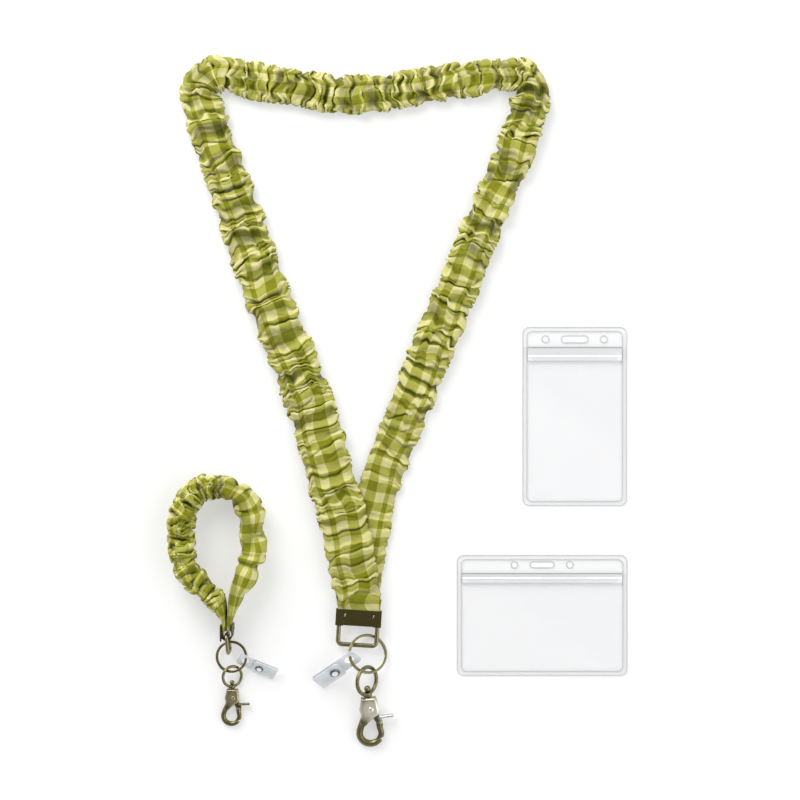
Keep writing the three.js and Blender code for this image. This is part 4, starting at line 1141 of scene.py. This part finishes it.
def add_hardware(prefix, wire, scale, bronze, polished, trigger_metal, steel, nickel, vinyl):
    refine(prefix + "_clamp", 0.14, 3, clamp_bronze)
    add_clamp_teeth(prefix, CLAMPS[prefix], clamp_bronze, barb_metal)
    add_rect_loop(prefix, wire, 2.6, bronze)
    add_split_ring(prefix, bronze)
    refine(prefix + "_swivel_eye", 0.15, 8, bronze, 1)
    refine(prefix + "_swivel_post", 0.12, 4, bronze, 1)
    refine(prefix + "_hook_body", 0.18, 22, polished)
    refine(prefix + "_trigger", 0.15, 12, trigger_metal)
    refine(prefix + "_trigger_pin", 0.1, 4, polished, 1)
    add_spring(prefix, steel)
    add_clip(prefix, scale, vinyl)
    low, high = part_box(prefix + "_snap_cap")
    # The snap cap is near white in the middle and darkens to near black at its rim.
    centre_button = (tuple((low + high) / 2), 1.95 * scale * MM, 2.35 * scale * MM, (0.95, 0.96, 0.97))
    button = worn_metal(prefix + "_snap_nickel", (0.07, 0.075, 0.08), (0.42, 0.43, 0.45), 0.3, 0.5,
                        centre_button, 0.3)
    refine(prefix + "_snap_cap", 0.1, 4, button, 1)
    refine(prefix + "_snap_stud", 0.1, 4, nickel, 1)

# ---- Build ----

add_camera()
add_studio()
cotton = gingham()
add_cover("neck", NECK, cotton)
add_cover("wrist", WRIST, cotton)

ANTIQUE_DARK, ANTIQUE_BRIGHT = (0.055, 0.046, 0.019), (0.34, 0.30, 0.155)
POLISHED = (0.86, 0.83, 0.70)
FILM_TINT, FILM_BODY = (0.66, 0.67, 0.70), 0.08
film = clear_vinyl("pocket_vinyl", FILM_TINT, FILM_BODY, 0.05, 0.14)
weld = clear_vinyl("pocket_weld", (0.58, 0.585, 0.59), 0.85, 0.15, 0.22)
hem = clear_vinyl("pocket_hem", (0.70, 0.705, 0.715), 0.8, 0.15, 0.2)
band = clear_vinyl("pocket_band", (0.82, 0.825, 0.83), 0.8, 0.15, 0.2)
ridge = clear_vinyl("pocket_ridge", (0.97, 0.97, 0.97), 0.9, 0.1, 0.12)
# A dark film for the pockets' mouths: painted shade.
shade = clear_vinyl("pocket_lip", (0.40, 0.405, 0.41), 0.85, 0.15, 0.2)
# The clip's dark rim colour is painted shade on its edge-on surfaces.
clip_vinyl = clear_vinyl("clear_vinyl", (0.84, 0.88, 0.91), 0.62, 0.36, 0.08, rim=(0.20, 0.23, 0.26))
bronze = worn_metal("antique_bronze", ANTIQUE_DARK, ANTIQUE_BRIGHT, 0.34, 0.9)
clamp_bronze = worn_metal("clamp_bronze", (0.060, 0.050, 0.016), (0.13, 0.11, 0.045), 0.5, 0.5, None, 0.35)
barb_metal = worn_metal("clamp_barb", (0.62, 0.58, 0.42), (0.95, 0.93, 0.84), 0.3, 0.5)
nickel = worn_metal("nickel", (0.36, 0.37, 0.38), (0.82, 0.83, 0.85), 0.2, 0.9)
steel = worn_metal("spring_steel", (0.30, 0.30, 0.30), (0.62, 0.62, 0.61), 0.3, 0.4)
elastic = woven_elastic()

for prefix, wire, hook_scale, clip_scale in (("neck", 3.0, 1.0, 1.0), ("wrist", 2.4, 0.74, 0.8)):
    rivet, _ = joint_place(prefix + "_trigger_press")
    shine = POLISHED if prefix == "neck" else (0.46, 0.40, 0.25)
    polish = (tuple(rivet), 5.0 * hook_scale * MM, 9.5 * hook_scale * MM, shine)
    polished = worn_metal(prefix + "_brushed_bronze", ANTIQUE_DARK, ANTIQUE_BRIGHT, 0.36, 0.9, polish)
    trigger_metal = bronze
    if prefix == "neck":
        trigger_metal = worn_metal("neck_trigger", ANTIQUE_DARK, ANTIQUE_BRIGHT, 0.34, 0.9,
                                   (lever_middle(prefix), 4.4 * MM, 6.2 * MM, (0.66, 0.65, 0.60)))
    add_hardware(prefix, wire, clip_scale, bronze, polished, trigger_metal, steel, nickel, clip_vinyl)
    paint(frame["nodes"][prefix + "_elastic"], elastic)
add_pocket("upright_pocket", UPRIGHT_POCKET, film, weld, hem, band, ridge, shade)
add_pocket("landscape_pocket", LANDSCAPE_POCKET, film, weld, hem, band, ridge, shade)
